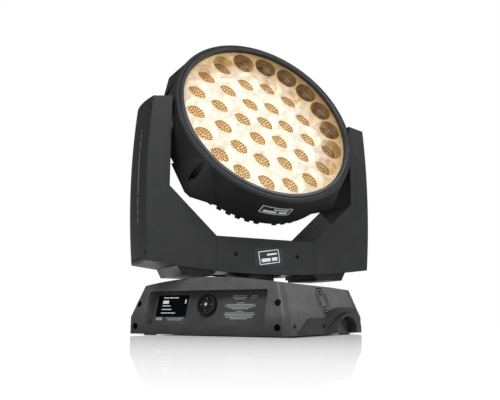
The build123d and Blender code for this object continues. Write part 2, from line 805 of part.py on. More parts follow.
def side_section(thickness):
    """Plan section of a side cover from the bow's axis, thickness inside its three outer faces."""
    outer = EDGE_ARC_R - thickness
    half = YOKE_HALF_DEPTH - thickness
    closing = EDGE_ARC_R - 4 * thickness
    with BuildLine() as section:
        ThreePointArc((outer, -half), (outer + 5.5, -5), (outer - 5, half))
        Polyline((outer - 5, half), (closing - REAR_LIP, half), (closing - FRONT_LIP, -half),
                 (outer, -half))
    return section.edges()


def side_solid(thickness):
    """The side cover's section swept down the arm's bowed outer edge and trimmed at both ends."""
    slope = (ARM_INNER_TOP_Z - ARM_TOP_Z) / (ARM_EDGE_X - ARM_INNER_X)
    low = [(x, yoke_bottom_z(x) + thickness) for x in (200, 215, 235)]
    high_z = ARM_TOP_Z - thickness
    with BuildPart() as solid:
        with BuildSketch(BOW_START):
            make_face(side_section(thickness))
        revolve(axis=BOW_AXIS, revolution_arc=13.2)
        with BuildSketch(Plane.XZ.offset(-YOKE_HALF_DEPTH - 1)):
            with BuildLine():
                ThreePointArc(*low)
                Polyline(low[-1], (235, high_z - 20 * slope), (200, high_z + 15 * slope), low[0])
            make_face()
        extrude(amount=2 * YOKE_HALF_DEPTH + 2, mode=Mode.INTERSECT)
    return solid.part


def beyond_arm():
    """Everything outside the surface where the arm covers meet a side cover."""
    slant = (REAR_LIP - FRONT_LIP) / (2 * YOKE_HALF_DEPTH)
    near = EDGE_ARC_R - FRONT_LIP + slant
    far = EDGE_ARC_R - REAR_LIP - slant
    half = YOKE_HALF_DEPTH + 1
    with BuildPart() as block:
        with BuildSketch(BOW_START):
            with BuildLine():
                Polyline((near, -half), (EDGE_ARC_R + 20, -half), (EDGE_ARC_R + 20, half),
                         (far, half), close=True)
            make_face()
        revolve(axis=BOW_AXIS, revolution_arc=13.2)
    return block.part


def arm_cover(name, side, way, lock_spot=None):
    """Front (way -1) or rear (way 1) moulded cover of one arm, 3 mm thick and open inside."""
    face_y = way * YOKE_HALF_DEPTH
    plane = Plane.XZ.offset(-face_y)
    with BuildPart() as cover:
        with BuildSketch(plane):
            make_face(arm_outline(FRONT_LIP))
        extrude(amount=way * (YOKE_HALF_DEPTH - SEAM / 2))
        add(beyond_arm(), mode=Mode.SUBTRACT)
        with BuildSketch(plane.offset(way * SKIN)):
            make_face(arm_space())
        extrude(amount=way * YOKE_HALF_DEPTH, mode=Mode.SUBTRACT)
        with BuildSketch(Plane.YZ.offset(ARM_INNER_X - 5)):
            with Locations((0, TILT_AXIS_Z)):
                Circle(HUB_HOLE_R)
        extrude(amount=20, mode=Mode.SUBTRACT)
        if lock_spot:
            with BuildSketch(plane):
                with Locations(lock_spot):
                    Circle(LOCK_HOLE_R)
            extrude(amount=10, both=True, mode=Mode.SUBTRACT)
        if side < 0:
            mirror(about=Plane.YZ, mode=Mode.REPLACE)
    save(cover, name, YOKE_AT)


def arm_covers():
    """Front and rear covers of both arms; a hole in the left rear one takes the tilt lock."""
    arm_cover("arm_cover_front_right", 1, -1)
    arm_cover("arm_cover_front_left", -1, -1)
    arm_cover("arm_cover_rear_right", 1, 1)
    arm_cover("arm_cover_rear_left", -1, 1, (-TILT_LOCK_X, TILT_AXIS_Z))


def side_cover(name, side):
    """Bowed outer cover of one arm, a thin shell with a row of vents across its lower edge."""
    vent_z = yoke_bottom_z(ARM_EDGE_X) + 1
    with BuildPart() as cover:
        add(side_solid(0))
        with BuildSketch(Plane.YZ.offset(ARM_EDGE_X - 10)):
            with Locations(*[(y, vent_z) for y in range(-24, 37, 12)]):
                Rectangle(6, 9)
            with Locations(*[(COVER_SCREW_Y, z) for z in COVER_SCREW_Z]):
                SlotOverall(9, 3.4, rotation=90)
        extrude(amount=30, mode=Mode.SUBTRACT)
        add(side_solid(SKIN), mode=Mode.SUBTRACT)
        if side < 0:
            mirror(about=Plane.YZ, mode=Mode.REPLACE)
    save(cover, name, YOKE_AT)


def centre_cover(name, way):
    """Front or rear cover of the cross member, with a folded top edge."""
    plane = Plane.XZ.offset(-way * YOKE_HALF_DEPTH)
    half = CENTRE_X - SEAM / 2
    with BuildPart() as cover:
        with BuildSketch(plane):
            with BuildLine():
                ThreePointArc((-half, yoke_bottom_z(half)), (0, YOKE_BOTTOM_Z),
                              (half, yoke_bottom_z(half)))
                Polyline((half, yoke_bottom_z(half)), (half, CENTRE_TOP_Z), (-half, CENTRE_TOP_Z),
                         (-half, yoke_bottom_z(half)))
            make_face()
        extrude(amount=way * SKIN)
        with BuildSketch(plane):
            with Locations((0, CENTRE_TOP_Z - SKIN / 2)):
                Rectangle(2 * half, SKIN)
        extrude(amount=way * (YOKE_HALF_DEPTH - SEAM / 2))
        with BuildSketch(plane):
            with Locations(*CENTRE_SCREWS):
                Circle(3.9)
        extrude(amount=way * 1.2, mode=Mode.SUBTRACT)
        with BuildSketch(plane):
            with Locations(*CENTRE_SCREWS):
                Circle(2.2)
            if way > 0:
                with Locations((0, PAN_LOCK_Z)):
                    Circle(LOCK_HOLE_R)
        extrude(amount=way * 10, mode=Mode.SUBTRACT)
    save(cover, name, YOKE_AT)


def under_covers():
    """Shallow black trays under the two arms, beside the neck."""
    with BuildPart() as trays:
        for inset, mode in ((0, Mode.ADD), (SKIN, Mode.SUBTRACT)):
            near, far = CENTRE_X + 1 + inset, 165 - inset
            middle = (near + far) / 2
            with BuildSketch(Plane.XZ.offset(-YOKE_HALF_DEPTH + 2 + inset)):
                with BuildLine():
                    ThreePointArc((near, yoke_bottom_z(near)), (middle, yoke_bottom_z(middle)),
                                  (far, yoke_bottom_z(far)))
                    Polyline((far, yoke_bottom_z(far)), (far - 8, UNDER_LOW_Z + inset),
                             (near + 6, UNDER_LOW_Z + inset), (near + 6, UNDER_LOW_Z + 4 + inset),
                             (near, UNDER_LOW_Z + 4 + inset), (near, yoke_bottom_z(near)))
                make_face()
            extrude(amount=2 * (YOKE_HALF_DEPTH - 2 - inset), mode=mode)
        mirror(about=Plane.YZ)
    save(trays, "under_covers", YOKE_AT)


def yoke_frame():
    """Folded U-shaped frame that joins the neck to the two tilt bearings."""
    with BuildPart() as frame:
        with BuildSketch(Plane.XZ.offset(-44)):
            with BuildLine():
                Polyline((-FRAME_X, 384), (-FRAME_X, FRAME_STEP_Z), (-106, FRAME_STEP_Z),
                         (-92, FRAME_BOTTOM_Z), (92, FRAME_BOTTOM_Z), (106, FRAME_STEP_Z),
                         (FRAME_X, FRAME_STEP_Z), (FRAME_X, 384))
            trace(line_width=FRAME_T)
        extrude(amount=88)
        with BuildSketch(Plane.XY.offset(90)):
            Circle(SPINDLE_R + 2)
        extrude(amount=25, mode=Mode.SUBTRACT)
        with BuildSketch(Plane.YZ.offset(-FRAME_X - 10)):
            with Locations((0, TILT_AXIS_Z)):
                Circle(BEARING_R)
            with Locations((0, 260)):
                RectangleRounded(56, 80, 10)
        extrude(amount=2 * FRAME_X + 20, mode=Mode.SUBTRACT)
        with BuildSketch(Plane.YZ.offset(-FRAME_X - 10)):
            with Locations((0, TILT_MOTOR_Z)):
                Circle(15)
        extrude(amount=20, mode=Mode.SUBTRACT)
    save(frame, "yoke_frame", YOKE_AT)


def yoke_bearings():
    """Two tilt bearings in the arms and one pan bearing in the neck."""
    with BuildPart() as bearings:
        for x in (-FRAME_X - 6, FRAME_X - 4):
            with BuildSketch(Plane.YZ.offset(x)):
                with Locations((0, TILT_AXIS_Z)):
                    Circle(BEARING_R)
                    Circle(TILT_SHAFT_R + RUNNING_FIT, mode=Mode.SUBTRACT)
            extrude(amount=10)
        with BuildSketch(Plane.XY.offset(82)):
            Circle(NECK_R - 5)
            Circle(SPINDLE_R + RUNNING_FIT, mode=Mode.SUBTRACT)
        extrude(amount=14)
    save(bearings, "yoke_bearings", YOKE_AT)


NECK_TOP_Z = FRAME_BOTTOM_Z - FRAME_T / 2


def pan_neck():
    """Turning tube between base and yoke, bolted under the yoke frame."""
    with BuildPart() as neck:
        with BuildSketch(Plane.XY.offset(76)):
            Circle(NECK_R)
        extrude(amount=NECK_TOP_Z - 76)
        with BuildSketch(Plane.XY.offset(NECK_TOP_Z - 3)):
            Circle(50)
            with PolarLocations(44, 6):
                Circle(2.2, mode=Mode.SUBTRACT)
        extrude(amount=3)
        with BuildSketch(Plane.XY.offset(76)):
            Circle(NECK_R - 5)
        extrude(amount=NECK_TOP_Z - 76, mode=Mode.SUBTRACT)
    save(neck, "pan_neck", YOKE_AT)


PAN_MOTOR_LOW_Z = PAN_PULLEY_Z + PULLEY_T + 5


def motor_body(plane, size, length, shaft_length):
    """Stepper motor with a round shaft, drawn on the plane of its front face."""
    with BuildPart() as motor:
        with BuildSketch(plane):
            RectangleRounded(size, size, size * 0.09)
        extrude(amount=-length)
        with BuildSketch(plane.offset(-length * 0.25)):
            Rectangle(size + 2, size + 2)
            RectangleRounded(size - 1.2, size - 1.2, size * 0.09, mode=Mode.SUBTRACT)
        extrude(amount=-length * 0.5, mode=Mode.SUBTRACT)
        with BuildSketch(plane):
            Circle(size * 0.3)
        extrude(amount=1.6)
        with BuildSketch(plane):
            Circle(3)
        extrude(amount=shaft_length)
    return motor


PAN_MOTOR_PLANE = Plane(origin=(PAN_MOTOR_X, 0, PAN_MOTOR_LOW_Z), x_dir=(1, 0, 0), z_dir=(0, 0, -1))
TILT_MOTOR_FACE_X = -FRAME_X + FRAME_T / 2
TILT_MOTOR_PLANE = Plane(origin=(TILT_MOTOR_FACE_X, 0, TILT_MOTOR_Z), x_dir=(0, 1, 0), z_dir=(-1, 0, 0))


def drive_motors():
    """Pan motor in the cross member and tilt motor in the left arm."""
    pan_shaft = PAN_MOTOR_LOW_Z - PAN_PULLEY_Z
    save(motor_body(PAN_MOTOR_PLANE, 50, 34, pan_shaft), "pan_motor", YOKE_AT)
    tilt_shaft = TILT_MOTOR_FACE_X - TILT_PULLEY_X + PULLEY_T / 2
    save(motor_body(TILT_MOTOR_PLANE, 48, 46, tilt_shaft), "tilt_motor", YOKE_AT)


def motor_pulleys():
    """Small toothed pulleys on the two motor shafts."""
    pan = toothed_ring(Plane(origin=(PAN_MOTOR_X, 0, PAN_PULLEY_Z), z_dir=(0, 0, 1)),
                       MOTOR_PULLEY_R, 3 + RUNNING_FIT, PULLEY_T, 15)
    save(pan, "pan_motor_pulley", YOKE_AT)
    tilt = toothed_ring(Plane(origin=(TILT_PULLEY_X - PULLEY_T / 2, 0, TILT_MOTOR_Z), z_dir=(1, 0, 0)),
                        MOTOR_PULLEY_R, 3 + RUNNING_FIT, PULLEY_T, 15)
    save(tilt, "tilt_motor_pulley", YOKE_AT)


def belt_outline(large_r, small_r, distance):
    """Outline of a belt round a large pulley at the origin and a small one along +X."""
    lean = acos((large_r - small_r) / distance)
    large_spot = (large_r * cos(lean), large_r * sin(lean))
    small_spot = (distance + small_r * cos(lean), small_r * sin(lean))
    with BuildLine() as outline:
        ThreePointArc((large_spot[0], -large_spot[1]), (-large_r, 0), large_spot)
        Line(large_spot, small_spot)
        ThreePointArc(small_spot, (distance + small_r, 0), (small_spot[0], -small_spot[1]))
        Line((small_spot[0], -small_spot[1]), (large_spot[0], -large_spot[1]))
    return outline.edges()


def drive_belts():
    """Pan belt round the fixed pulley, and tilt belt in the left arm."""
    pan_plane = Plane(origin=(0, 0, PAN_PULLEY_Z + 0.5), x_dir=(-1, 0, 0), z_dir=(0, 0, 1))
    tilt_plane = Plane(origin=(TILT_PULLEY_X - PULLEY_T / 2 + 0.5, 0, TILT_AXIS_Z), x_dir=(0, 0, -1),
                       z_dir=(1, 0, 0))
    runs = ((pan_plane, PAN_PULLEY_R, -PAN_MOTOR_X),
            (tilt_plane, TILT_PULLEY_R, TILT_AXIS_Z - TILT_MOTOR_Z))
    with BuildPart() as belts:
        for plane, large_r, distance in runs:
            for grow, mode in ((BELT_GAP + BELT_T, Mode.ADD), (BELT_GAP, Mode.SUBTRACT)):
                with BuildSketch(plane):
                    make_face(belt_outline(large_r + grow, MOTOR_PULLEY_R + grow, distance))
                extrude(amount=PULLEY_T - 1, mode=mode)
    save(belts, "drive_belts", YOKE_AT)


def name_plate():
    """Blank plate on the front of the cross member."""
    with BuildPart() as plate:
        with BuildSketch(Plane.XZ.offset(YOKE_HALF_DEPTH)):
            with Locations((PLATE_X, PLATE_Z)):
                RectangleRounded(*PLATE_SIZE, 1)
        extrude(amount=0.8)
    save(plate, "name_plate", YOKE_AT)


def yoke_screws():
    """Two cap screws in each centre cover and two in each side cover."""
    with BuildPart() as screws:
        for way in (-1, 1):
            face = Plane(origin=(0, way * (YOKE_HALF_DEPTH - 1.2), 0), x_dir=(-way, 0, 0),
                         z_dir=(0, way, 0))
            with BuildSketch(face):
                with Locations(*CENTRE_SCREWS):
                    Circle(3.7)
                    RegularPolygon(1.9, 6, mode=Mode.SUBTRACT)
            extrude(amount=2)
            with BuildSketch(face):
                with Locations(*CENTRE_SCREWS):
                    Circle(3.7)
            extrude(amount=0.6)
            with BuildSketch(face):
                with Locations(*CENTRE_SCREWS):
                    Circle(2)
            extrude(amount=-9)
            side = Plane(origin=(way * (ARM_EDGE_X - 2), 0, 0), x_dir=(0, 1, 0), z_dir=(way, 0, 0))
            spots = [(COVER_SCREW_Y, z) for z in COVER_SCREW_Z]
            if way < 0:
                side = Plane(origin=(-ARM_EDGE_X + 2, 0, 0), x_dir=(0, -1, 0), z_dir=(-1, 0, 0))
                spots = [(-y, z) for y, z in spots]
            with BuildSketch(side):
                with Locations(*spots):
                    Circle(1.5)
            extrude(amount=3.2)
    save(screws, "yoke_screws", YOKE_AT)


def lock_pin(name, x, z, inner_y):
    """Thumb button on the rear of the yoke with a pin that slides in to brake a drum."""
    outer_y = YOKE_HALF_DEPTH + LOCK_TRAVEL + 0.8
    with BuildPart() as lock:
        with BuildSketch(Plane.XZ.offset(-outer_y - 4)):
            with Locations((x, z)):
                Circle(LOCK_R)
        extrude(amount=outer_y + 4 - inner_y)
        with BuildSketch(Plane.XZ.offset(-outer_y - 6)):
            with Locations((x, z)):
                RectangleRounded(*LOCK_CAP, 3)
        extrude(amount=6)
        fillet(lock.faces().sort_by(Axis.Y)[-1].edges(), 1)
    save(lock, name, YOKE_AT)


def locks():
    """Pan lock and tilt lock."""
    lock_pin("pan_lock", 0, PAN_LOCK_Z, PAN_PULLEY_R + BELT_GAP + LOCK_TRAVEL)
    lock_pin("tilt_lock", TILT_LOCK_X, TILT_AXIS_Z, DRUM_R + BELT_GAP + LOCK_TRAVEL)


# ---------------------------------------------------------------- head

def ring_solid(points):
    """Solid of revolution about the optical axis from (radius, forward) points."""
    with BuildPart() as solid:
        with BuildSketch(Plane.XY):
            with BuildLine():
                Polyline(*[(radius, -forward) for radius, forward in points], close=True)
            make_face()
        revolve(axis=Axis.Y)
    return solid


def corner_wedge():
    """One squared corner of the head, growing from the round front to the rear edge."""
    rear = [CORNER_CREASE, CORNER_LOW, CORNER_HIGH, CORNER_FLANK, CORNER_ROOT]
    front = circle_spots(CORNER_FRONT_R, CORNER_FRONT_ANGLES) + [CORNER_FRONT_ROOT]
    with BuildPart() as wedge:
        for offset_y, points in ((BARREL_REAR, rear), (BARREL_FRONT - 3, front)):
            with BuildSketch(Plane.XZ.offset(offset_y)):
                with BuildLine():
                    Polyline(*points, close=True)
                make_face()
        loft(ruled=True)
    return wedge.part


def head_casing():
    """Round barrel that squares off towards its rear edge, flat where the tilt hubs meet it."""
    wedge = corner_wedge()
    with BuildPart() as casing:
        with BuildSketch(Plane.XZ.offset(BARREL_REAR)):
            Circle(BARREL_R)
        extrude(amount=BARREL_FRONT - BARREL_REAR)
        fillet(casing.faces().sort_by(Axis.Y)[0].edges(), 6)
        add(wedge)
        add(wedge.mirror(Plane.YZ))
        add(wedge.mirror(Plane.XY))
        add(wedge.mirror(Plane.YZ).mirror(Plane.XY))
        with BuildSketch(Plane.XZ.offset(BARREL_REAR - 1)):
            Rectangle(2 * FLANK_X, 400)
        extrude(amount=BARREL_FRONT - BARREL_REAR + 2, mode=Mode.INTERSECT)
        with BuildSketch(Plane.XZ.offset(BARREL_REAR - 1)):
            Circle(BARREL_BORE_R)
        extrude(amount=BARREL_FRONT - BARREL_REAR + 2, mode=Mode.SUBTRACT)
        with BuildSketch(Plane.XZ.offset(-POCKET_DEPTH_Y)):
            with Locations(*both_signs(*POCKET_SPOT)):
                Circle(POCKET_R)
        extrude(amount=60, mode=Mode.SUBTRACT)
        with BuildSketch(Plane.YZ.offset(-FLANK_X - 5)):
            Circle(HUB_SEAT_R)
        extrude(amount=2 * FLANK_X + 10, mode=Mode.SUBTRACT)
    save(casing, "head_casing", HEAD_AT)


def front_ring():
    """Bezel round the lens disc, with a rounded lip."""
    lip = ((RING_BORE_R, RING_FRONT - 10), (RING_BORE_R, RING_FRONT - 1.5), (RING_BORE_R + 1.2, RING_FRONT),
           (RING_R - 2.6, RING_FRONT), (RING_R - 0.8, RING_FRONT - 1.6), (RING_R - 0.8, RING_FRONT - 5),
           (RING_R, RING_FRONT - 5), (RING_R, RING_FRONT - 10))
    save(ring_solid(lip), "front_ring", HEAD_AT)


def lens_spots():
    """Centres of the lenses: one in the middle and three rings round it."""
    spots = []
    for ring, count, phase in LENS_RINGS:
        angles = [phase + 360 / count * i for i in range(count)]
        spots += circle_spots(ring * LENS_PITCH, angles)
    return spots


def lens_cap():
    """One convex lens standing on the front face of the clear disc."""
    sphere_r = arc_radius(LENS_R, LENS_RISE)
    with BuildPart() as cap:
        with BuildSketch(Plane.XY):
            with BuildLine():
                Polyline((0, -DISC_FACE - LENS_RISE), (0, -DISC_FACE + 1), (LENS_R, -DISC_FACE + 1),
                         (LENS_R, -DISC_FACE))
                RadiusArc((LENS_R, -DISC_FACE), (0, -DISC_FACE - LENS_RISE), sphere_r)
            make_face()
        revolve(axis=Axis.Y)
    return cap.part


def lens_disc():
    """Clear disc with a convex lens over each light source."""
    cap = lens_cap()
    with BuildPart() as disc:
        with BuildSketch(Plane.XZ.offset(DISC_BACK)):
            Circle(DISC_R)
        extrude(amount=DISC_FACE - DISC_BACK)
        chamfer(disc.faces().sort_by(Axis.Y)[0].edges(), 1.5)
        for x, z in lens_spots():
            add(cap.moved(Location((x, 0, z))))
    save(disc, "lens_disc", HEAD_AT)


def lens_carriage():
    """Ring behind the lens disc that slides on the rods, with the three fixed screw shafts."""
    back = CARRIAGE_FRONT - CARRIAGE_T
    with BuildPart() as carriage:
        with BuildSketch(Plane.XZ.offset(back)):
            Circle(169)
            Circle(155, mode=Mode.SUBTRACT)
            with Locations(*circle_spots(ROD_RADIUS, ROD_ANGLES)):
                Circle(ROD_R + RUNNING_FIT, mode=Mode.SUBTRACT)
        extrude(amount=CARRIAGE_T)
        with BuildSketch(Plane.XZ.offset(back)):
            with Locations(*circle_spots(SCREW_RADIUS, SCREW_ANGLES)):
                Circle(SCREW_SHAFT_R)
        extrude(amount=-(back - SINK_FACE - 17))
        with BuildSketch(Plane.XZ.offset(CARRIAGE_FRONT)):
            Circle(158)
            Circle(155, mode=Mode.SUBTRACT)
        extrude(amount=DISC_BACK - CARRIAGE_FRONT - 0.3)
    save(carriage, "lens_carriage", HEAD_AT)


def guide_rods():
    """Rods the lens carriage slides on."""
    with BuildPart() as rods:
        with BuildSketch(Plane.XZ.offset(SINK_FACE)):
            with Locations(*circle_spots(ROD_RADIUS, ROD_ANGLES)):
                Circle(ROD_R)
        extrude(amount=RING_FRONT - 10 - SINK_FACE)
    save(rods, "guide_rods", HEAD_AT)


def zoom_actuators():
    """Linear stepper bodies with a clear bore for each screw shaft."""
    with BuildPart() as actuators:
        with BuildSketch(Plane.XZ.offset(SINK_FACE)):
            with Locations(*circle_spots(SCREW_RADIUS, SCREW_ANGLES)):
                Circle(9)
                Circle(SCREW_SHAFT_R + RUNNING_FIT, mode=Mode.SUBTRACT)
        extrude(amount=20)
    save(actuators, "zoom_actuators", HEAD_AT)


def led_board():
    """Metal-core board with one square light source per lens."""
    with BuildPart() as board:
        with BuildSketch(Plane.XZ.offset(SINK_FACE)):
            Circle(BOARD_R)
            with Locations(*circle_spots(SCREW_RADIUS, SCREW_ANGLES)):
                Circle(11, mode=Mode.SUBTRACT)
        extrude(amount=2)
        with BuildSketch(Plane.XZ.offset(SINK_FACE + 2)):
            with Locations(*lens_spots()):
                Rectangle(9, 9)
        extrude(amount=1.5)
    save(board, "led_board", HEAD_AT)


def light_collimators():
    """One tapered light guide over each source."""
    low = SINK_FACE + 3.5
    with BuildPart() as guides:
        for x, z in lens_spots():
            with BuildSketch(Plane.XZ.offset(low)):
                with Locations((x, z)):
                    Circle(6)
            with BuildSketch(Plane.XZ.offset(COLLIMATOR_TOP)):
                with Locations((x, z)):
                    Circle(18.5)
            loft()
    save(guides, "light_collimators", HEAD_AT)


def heat_sink():
    """Aluminium plate behind the board with straight fins."""
    with BuildPart() as sink:
        with BuildSketch(Plane.XZ.offset(SINK_FACE - 4)):
            Circle(BARREL_BORE_R - 0.5)
            with Locations(*circle_spots(SCREW_RADIUS, SCREW_ANGLES)):
                Circle(SCREW_SHAFT_R + 0.6, mode=Mode.SUBTRACT)
        extrude(amount=4)
        with BuildSketch(Plane.XZ.offset(FAN_FRONT + 2)):
            with GridLocations(9, 1, 27, 1):
                Rectangle(2, 300)
            Circle(124, mode=Mode.INTERSECT)
        extrude(amount=SINK_FACE - 4 - FAN_FRONT - 2)
    save(sink, "heat_sink", HEAD_AT)


HEAD_FAN_PLANE = Plane(origin=(0, -FAN_FRONT, 0), x_dir=(1, 0, 0), z_dir=(0, 1, 0))


def head_fan():
    """Cooling fan at the rear of the head, as a frame and a rotor."""
    save(fan_frame(HEAD_FAN_PLANE, FAN_SIZE, FAN_T), "head_fan_frame", HEAD_AT)
    save(fan_rotor(HEAD_FAN_PLANE, FAN_SIZE, FAN_T), "head_fan_rotor", HEAD_AT)


def rear_cover():
    """Tapered rear cover with radial vents, a fan grille and short ribs behind the casing's corners."""
    start = BARREL_REAR
    shoulder = start - 10
    outer = ((REAR_LIP_R, start), (REAR_LIP_R - 4, shoulder), (REAR_R, REAR_END), (0, REAR_END))
    inner = ((0, REAR_END + SKIN), (REAR_R - 2, REAR_END + SKIN), (REAR_LIP_R - 7.5, shoulder),
             (REAR_LIP_R - 3, start))
    with BuildPart() as cover:
        add(ring_solid(outer + inner).part)
        with BuildSketch(Plane.XZ.offset(REAR_END + 22)):
            for turn in range(VENT_COUNT):
                Rectangle(330, 5, rotation=turn * 180 / VENT_COUNT)
            Circle(100, mode=Mode.SUBTRACT)
        extrude(amount=44, mode=Mode.SUBTRACT)
        with BuildSketch(Plane.XZ.offset(REAR_END - 1)):
            for radius in (56, 46, 36, 26, 16):
                Circle(radius)
                Circle(radius - 5, mode=Mode.SUBTRACT)
            for angle in (0, 60, 120):
                Rectangle(130, 5, rotation=angle, mode=Mode.SUBTRACT)
        extrude(amount=SKIN + 2, mode=Mode.SUBTRACT)
        with BuildSketch(Plane.XZ.offset(shoulder)):
            for angle in REAR_RIB_ANGLES:
                with Locations(circle_spots(REAR_LIP_R, [angle])[0]):
                    Rectangle(9, 9, rotation=angle)
            Circle(REAR_LIP_R - 4.5, mode=Mode.SUBTRACT)
        extrude(amount=start - shoulder)
    save(cover, "rear_cover", HEAD_AT)


def tilt_hubs():
    """Flanged hollow shafts on each side of the head; the left one carries the tilt pulley and drum."""
    with BuildPart() as hubs:
        for way, reach in ((1, FRAME_X + 8), (-1, TILT_PULLEY_X + PULLEY_T / 2)):
            plane = Plane(origin=(way * HUB_IN_X, 0, 0), x_dir=(0, 1, 0), z_dir=(way, 0, 0))
            with BuildSketch(plane):
                Circle(HUB_SEAT_R - 0.1)
            extrude(amount=FLANK_X - HUB_IN_X)
            with BuildSketch(plane.offset(FLANK_X - HUB_IN_X)):
                Circle(40)
            extrude(amount=3)
            with BuildSketch(plane.offset(FLANK_X - HUB_IN_X + 3)):
                Circle(TILT_SHAFT_R)
            extrude(amount=abs(reach) - FLANK_X - 3)
            with BuildSketch(plane):
                Circle(9)
            extrude(amount=60, mode=Mode.SUBTRACT)
        pulley_plane = Plane(origin=(TILT_PULLEY_X - PULLEY_T / 2, 0, 0), x_dir=(0, 1, 0), z_dir=(1, 0, 0))
        add(toothed_ring(pulley_plane, TILT_PULLEY_R, 9, PULLEY_T, 32).part)
        with BuildSketch(Plane.YZ.offset(TILT_LOCK_X - DRUM_T / 2)):
            Circle(DRUM_R)
            Circle(9, mode=Mode.SUBTRACT)
        extrude(amount=DRUM_T)
    save(hubs, "tilt_hubs", HEAD_AT)


def head_badge():
    """Blank curved plate on the underside of the barrel."""
    with BuildPart() as badge:
        with BuildSketch(Plane.XZ.offset(-BADGE_Y - BADGE_DEPTH / 2)):
            Circle(BARREL_R + 0.7)
            Circle(BARREL_R, mode=Mode.SUBTRACT)
            with Locations((BADGE_X, -BARREL_R)):
                Rectangle(BADGE_WIDTH, 60, mode=Mode.INTERSECT)
        extrude(amount=BADGE_DEPTH)
    save(badge, "head_badge", HEAD_AT)


def head_screws():
    """Cap screws at the bottom of the four casing pockets."""
    with BuildPart() as screws:
        with BuildSketch(Plane.XZ.offset(-POCKET_DEPTH_Y)):
            with Locations(*both_signs(*POCKET_SPOT)):
                Circle(4.2)
                RegularPolygon(2.2, 6, mode=Mode.SUBTRACT)
        extrude(amount=4)
        with BuildSketch(Plane.XZ.offset(-POCKET_DEPTH_Y)):
            with Locations(*both_signs(*POCKET_SPOT)):
                Circle(4.2)
        extrude(amount=1.5)
    save(screws, "head_screws", HEAD_AT)


BASE_PARTS = (bottom_plate, base_chassis, front_frame, rear_frame, base_casing, control_panel,
              display_screen, jog_ring, enter_button, connector_panel, power_sockets, signal_sockets,
              fuse_holder, power_supply, control_board, base_fan, rubber_feet, bracket_sockets,
              pan_spindle, pan_pulley, base_screws)
YOKE_PARTS = (arm_covers, under_covers, yoke_frame, yoke_bearings, pan_neck, drive_motors,
              motor_pulleys, drive_belts, name_plate, yoke_screws, locks)
HEAD_PARTS = (head_casing, front_ring, lens_disc, lens_carriage, guide_rods, zoom_actuators, led_board,
              light_collimators, heat_sink, head_fan, rear_cover, tilt_hubs, head_badge, head_screws)

os.makedirs("parts", exist_ok=True)
for make in BASE_PARTS + YOKE_PARTS + HEAD_PARTS:
    make()
carry_handle("carry_handle_right", Location())
carry_handle("carry_handle_left", TURNED)
side_cover("side_cover_right", 1)
side_cover("side_cover_left", -1)
centre_cover("centre_cover_front", -1)
centre_cover("centre_cover_rear", 1)
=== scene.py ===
import json
import math
import random

import bpy
from mathutils import Matrix, Vector

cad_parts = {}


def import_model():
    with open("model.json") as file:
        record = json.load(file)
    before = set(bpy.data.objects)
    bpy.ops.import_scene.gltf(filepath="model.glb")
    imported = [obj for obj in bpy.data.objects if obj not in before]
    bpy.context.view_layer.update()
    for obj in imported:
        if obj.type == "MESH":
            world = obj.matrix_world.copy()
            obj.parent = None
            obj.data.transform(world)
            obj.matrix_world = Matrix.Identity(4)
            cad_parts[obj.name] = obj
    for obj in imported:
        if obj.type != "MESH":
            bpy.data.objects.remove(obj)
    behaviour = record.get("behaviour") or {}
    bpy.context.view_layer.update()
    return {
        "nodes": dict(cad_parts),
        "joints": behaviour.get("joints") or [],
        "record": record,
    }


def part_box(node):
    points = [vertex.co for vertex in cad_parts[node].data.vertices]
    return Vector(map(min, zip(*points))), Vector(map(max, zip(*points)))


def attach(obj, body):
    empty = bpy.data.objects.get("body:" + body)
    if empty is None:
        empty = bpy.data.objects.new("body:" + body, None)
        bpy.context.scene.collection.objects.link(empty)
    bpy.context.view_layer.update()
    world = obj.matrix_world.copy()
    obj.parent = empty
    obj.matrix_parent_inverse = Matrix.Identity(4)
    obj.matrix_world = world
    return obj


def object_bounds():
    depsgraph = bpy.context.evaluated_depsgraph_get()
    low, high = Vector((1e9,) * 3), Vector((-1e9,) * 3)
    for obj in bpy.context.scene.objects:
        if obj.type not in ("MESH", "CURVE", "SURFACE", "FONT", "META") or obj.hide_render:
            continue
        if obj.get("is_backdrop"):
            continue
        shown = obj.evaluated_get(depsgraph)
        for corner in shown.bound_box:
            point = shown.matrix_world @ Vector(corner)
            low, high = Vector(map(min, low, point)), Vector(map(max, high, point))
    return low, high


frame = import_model()
nodes = frame["nodes"]
joints = {j["name"]: j for j in frame["joints"]}

# ---------------------------------------------------------------- places

TILT_AXIS = Vector(joints["tilt"]["axis"])
HEAD_CENTRE = Vector(joints["tilt"]["pos_m"])
FORWARD = Vector(joints["zoom_slide"]["axis"])
PAN = math.atan2(TILT_AXIS.y, TILT_AXIS.x)
TILT = math.asin(FORWARD.z)
YOKE = Matrix.Rotation(PAN, 4, "Z")
HEAD = Matrix.Translation(HEAD_CENTRE) @ YOKE @ Matrix.Rotation(-TILT, 4, "X")
JOG_CENTRE = Vector(joints["jog_turn"]["pos_m"])
PANEL_NORMAL = Vector(joints["jog_turn"]["axis"]).normalized()
PANEL_UP = PANEL_NORMAL.cross(Vector((1, 0, 0))).normalized()

LENS_PITCH = 0.045
LENS_RINGS = ((0, 1, 0), (1, 6, 0), (2, 12, 15), (3, 18, 0))


def lens_spots():
    """Lens centres across and up the lens face."""
    spots = []
    for ring, count, phase in LENS_RINGS:
        for i in range(count):
            a = math.radians(phase + 360 / count * i)
            spots.append((ring * LENS_PITCH * math.cos(a), ring * LENS_PITCH * math.sin(a)))
    return spots


# ---------------------------------------------------------------- materials

def new_material(name):
    """A new node material, its tree and its main shader."""
    mat = bpy.data.materials.new(name)
    mat.use_nodes = True
    tree = mat.node_tree
    return mat, tree, tree.nodes["Principled BSDF"]


